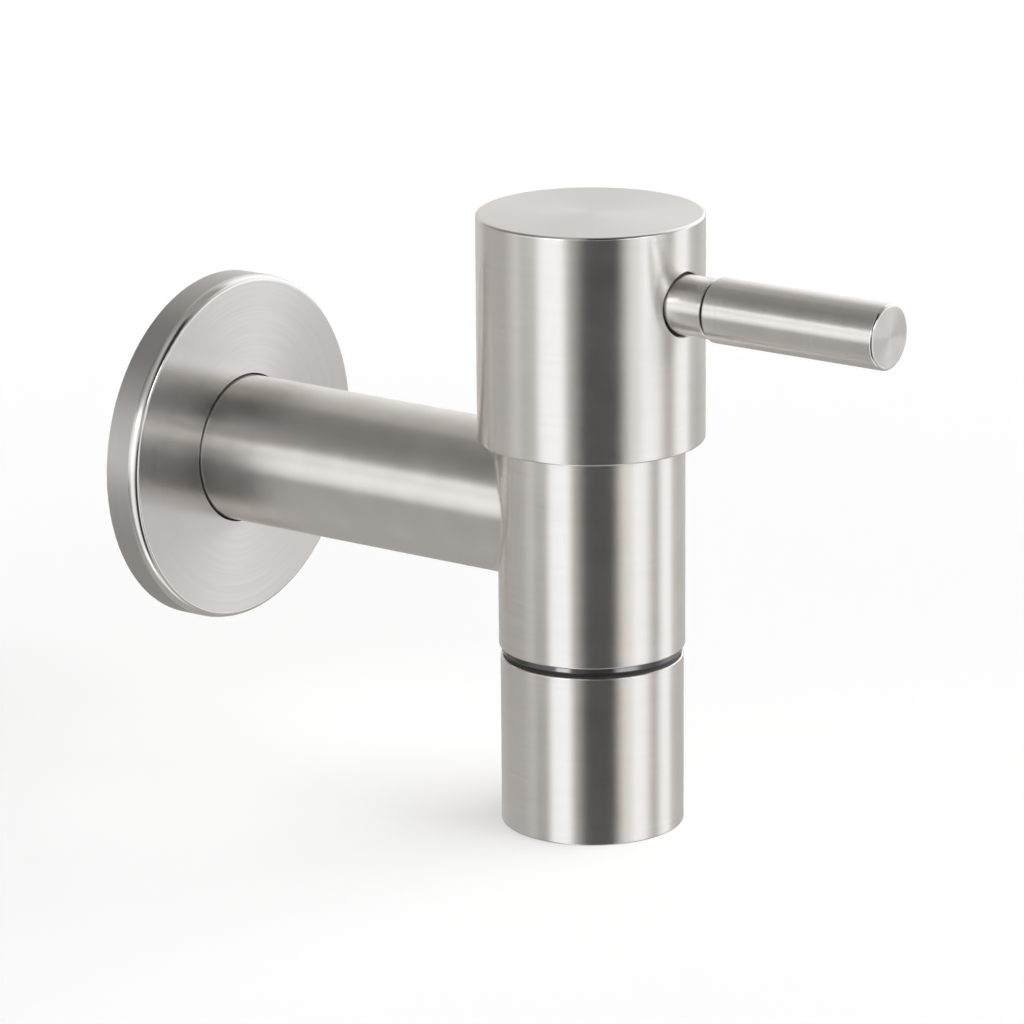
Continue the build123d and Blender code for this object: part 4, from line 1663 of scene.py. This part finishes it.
@dataclass
class Studio:
    """Pale floor, soft light, light tent and camera."""

    azimuth: float = -54.02
    elevation: float = 15.91
    roll: float = -0.45
    focal_pixels: float = 5701.0
    picture_pixels: float = 1024.0
    camera_place: tuple[float, float, float] = (-0.71702, -0.58143, 0.25009)
    sensor: float = 36.0
    floor_reach: float = 6.0
    floor_colour: tuple[float, float, float] = (0.965, 0.965, 0.965)
    floor_roughness: float = 0.9
    floor_cloud_size: float = 1 / 3
    floor_cloud_contrast: float = 0.004
    tent_radius: float = 2.2
    tent_columns: int = 48
    low_level: float = 0.40
    high_level: float = 0.33
    least_level: float = 0.015
    overhead_ramp: tuple[float, float] = (math.radians(20.0), math.radians(38.0))
    dim_tint: tuple[float, float, float] = (1.0, 0.965, 0.925)
    bright_tint: tuple[float, float, float] = (0.985, 1.0, 1.02)
    tint_ramp: tuple[float, float] = (0.55, 1.0)
    cards: tuple[Card, ...] = (
        Card("left key strip", -39.0, 14.5, 6.0, -80.0, 32.0, 10.0, 0.56),
        Card("glow above the left strip", -37.0, 30.0, 10.5, -7.0, 85.0, 7.5, 0.17),
        Card("low box on the left", -71.0, 17.0, 9.0, -13.0, 23.0, 6.0, 0.37),
        Card("flag left of the key strip", -66.0, 8.0, 4.0, -60.0, -2.0, 6.5, -0.13),
        Card("flag beside the camera", 9.5, 23.5, 12.0, -70.0, 7.0, 6.0, -0.41),
        Card("high flag above the camera", 27.0, 42.0, 18.0, 23.0, 88.0, 6.0, -0.34),
        Card("right key strip", 63.0, 11.0, 8.0, -37.0, 16.0, 5.0, 0.51),
        Card("soft wing of the right strip", 44.0, 10.0, 9.5, -34.0, 16.0, 7.5, 0.33),
        Card("right edge strip", 101.0, 11.0, 6.5, -29.0, 8.0, 9.0, 0.51),
        Card("wide box on the right", 135.0, 34.0, 17.0, 2.0, 52.5, 7.0, 0.62),
        Card("wall behind", 180.0, 43.0, 15.0, -12.0, 48.0, 12.0, 0.26),
        Card("flag on the far left", -93.0, 50.0, 12.5, 6.5, 63.0, 6.0, -0.14),
        Card("low light on the right", 116.0, 10.0, 7.0, -53.0, 0.0, 12.5, 0.08),
        Card("white table below", 25.0, 75.0, 20.0, -90.0, -58.0, 7.0, 0.50),
        Card("small lamp on the left", -37.0, 9.0, 3.5, 19.5, 25.5, 1.5, 3.60),
        Card("small lamp on the right", 47.0, 16.0, 6.0, 17.5, 25.5, 1.5, 2.60),
    )
    room_level: float = 0.10
    room_cards: tuple[Card, ...] = (
        Card("low cove all round", 0.0, 200.0, 5.0, -90.0, 18.0, 6.0, 5.95),
        Card("soft light in front", 20.0, 55.0, 20.0, 4.0, 45.0, 8.0, 0.92),
        Card("soft key on the right", 92.0, 42.0, 15.0, 5.0, 34.0, 8.0, 3.30),
    )

    def build(self, floor_level: float) -> None:
        """Sets up everything round the tap.

        Args:
            floor_level: height of the lowest point, in metres.
        """
        self.set_camera()
        self.set_world()
        self.add_floor(floor_level)
        self.add_tent()
        bpy.context.scene.view_settings.view_transform = "Standard"

    def set_camera(self) -> None:
        """Places the camera at the photograph's angle."""
        camera = bpy.data.cameras.new("camera")
        camera.sensor_width = self.sensor
        camera.lens = self.focal_pixels / self.picture_pixels * self.sensor
        holder = bpy.data.objects.new("camera", camera)
        bpy.context.scene.collection.objects.link(holder)
        place = Matrix.Translation(self.camera_place)
        for angle, axis in ((self.azimuth, "Z"), (90.0 - self.elevation, "X"), (self.roll, "Z")):
            place = place @ Matrix.Rotation(math.radians(angle), 4, axis)
        holder.matrix_world = place
        bpy.context.scene.camera = holder

    def set_world(self) -> None:
        """White background for the camera and for gloss, and a soft room light for the rest."""
        world = bpy.data.worlds.new("studio")
        bpy.context.scene.world = world
        board = NodeBoard(world)
        path = board.add("ShaderNodeLightPath").outputs
        through = board.math("MAXIMUM", path["Is Glossy Ray"], path["Is Transmission Ray"])
        seen = board.math("MAXIMUM", path["Is Camera Ray"], through)
        way = board.add("ShaderNodeTexCoord").outputs["Generated"]
        room = self.glow(board, way, (self.room_level, self.room_level), self.room_cards)
        strength = board.math("MULTIPLY_ADD", board.math("SUBTRACT", 1.0, seen), room, seen)
        inputs = {"Color": (1.0, 1.0, 1.0, 1.0), "Strength": strength}
        board.end("ShaderNodeBackground", inputs, "ShaderNodeOutputWorld")

    def add_floor(self, level: float) -> None:
        """Adds the pale floor.

        Args:
            level: its height in metres.
        """
        material = bpy.data.materials.new("pale_floor")
        board = NodeBoard(material)
        place = board.add("ShaderNodeTexCoord").outputs["Object"]
        contrast = self.floor_cloud_contrast
        clouds = board.mixed(1.0 - contrast / 2, (board.noise(place, self.floor_cloud_size), contrast))
        inputs = {
            "Base Color": board.scaled(self.floor_colour, clouds),
            "Roughness": self.floor_roughness,
            "Specular IOR Level": 0.0,
        }
        board.end("ShaderNodeBsdfPrincipled", inputs)
        reach = self.floor_reach
        corners = ((-reach, -reach), (reach, -reach), (reach, reach), (-reach, reach))
        mesh = bpy.data.meshes.new("floor")
        mesh.from_pydata([(x, y, level) for x, y in corners], [], [(0, 1, 2, 3)])
        self.add_stage(mesh, material, ["glossy"])

    def add_tent(self) -> None:
        """Adds the light tent whose strips and flags the steel reflects."""
        shape = bmesh.new()
        columns = self.tent_columns
        bmesh.ops.create_uvsphere(
            shape, u_segments=columns, v_segments=columns // 2, radius=self.tent_radius
        )
        mesh = bpy.data.meshes.new("light_tent")
        shape.to_mesh(mesh)
        shape.free()
        self.add_stage(mesh, self.tent_material(), ["camera", "diffuse", "shadow", "transmission"])

    @staticmethod
    def add_stage(mesh: bpy.types.Mesh, material: bpy.types.Material, hidden_from: Iterable[str]) -> None:
        """Adds a thing that isn't part of the tap.

        Args:
            mesh: its mesh, with its name.
            material: its finish.
            hidden_from: kinds of ray that pass through it.
        """
        mesh.materials.append(material)
        thing = bpy.data.objects.new(mesh.name, mesh)
        bpy.context.scene.collection.objects.link(thing)
        for kind in hidden_from:
            setattr(thing, f"visible_{kind}", False)
        thing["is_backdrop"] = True

    def glow(
        self, board: NodeBoard, way: Value, levels: tuple[float, float], cards: Sequence[Card]
    ) -> bpy.types.NodeSocket:
        """Works out how bright the surroundings are in a direction.

        Args:
            board: where the nodes go.
            way: the direction, out from the tap.
            levels: brightness near the horizon and below it, and overhead.
            cards: what is added to them.

        Returns:
            The brightness.
        """
        way = board.vector("NORMALIZE", way)
        height = board.math("ARCSINE", board.vector("DOT_PRODUCT", way, tuple(UP)))
        level_way = board.vector("NORMALIZE", board.vector("MULTIPLY", way, (1.0, 1.0, 0.0)))
        glow = board.ramp(height, *self.overhead_ramp, *levels)
        for card in cards:
            turn = math.radians(self.azimuth + card.azimuth)
            towards = (math.sin(turn), -math.cos(turn), 0.0)
            away = board.math("ARCCOSINE", board.vector("DOT_PRODUCT", level_way, towards))
            across = board.soft_edge(away, card.half_width, card.fade, falling=True)
            above = board.soft_edge(height, card.low, card.rise_fade)
            below = board.soft_edge(height, card.high, card.rise_fade, falling=True)
            share = board.math("MULTIPLY", across, board.math("MULTIPLY", above, below))
            glow = board.mixed(glow, (share, card.level))
        return glow

    def tent_material(self) -> bpy.types.Material:
        """Makes the glow of the tent's inside, strip by strip.

        Returns:
            The material.
        """
        material = bpy.data.materials.new("light_tent")
        board = NodeBoard(material)
        way = board.add("ShaderNodeTexCoord").outputs["Object"]
        glow = self.glow(board, way, (self.low_level, self.high_level), self.cards)
        change = tuple(bright - dim for bright, dim in zip(self.bright_tint, self.dim_tint))
        brightening = board.scaled(change, board.ramp(glow, *self.tint_ramp))
        tint = board.vector("ADD", self.dim_tint, brightening)
        strength = board.math("MAXIMUM", glow, self.least_level)
        board.end("ShaderNodeEmission", {"Color": tint, "Strength": strength})
        material.cycles.emission_sampling = "NONE"
        return material


def main() -> None:
    """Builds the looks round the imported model."""
    logging.basicConfig(level=logging.INFO, format="%(name)s: %(message)s")
    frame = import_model()
    cad_box = [list(corner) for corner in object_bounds()]
    body, nozzle = ArmAndBarrel.from_frame(), Nozzle.from_frame()
    body.build()
    WallFlange.from_frame().build()
    HandleCap.from_frame().build()
    Lever.from_frame().build()
    nozzle.build_sleeve()
    nozzle.build_bead()
    InletNipple.from_frame().build()
    InnerWorks(body.reach).dress(frame["nodes"])
    Studio().build(cad_box[0][2])


if __name__ == "__main__":
    main()
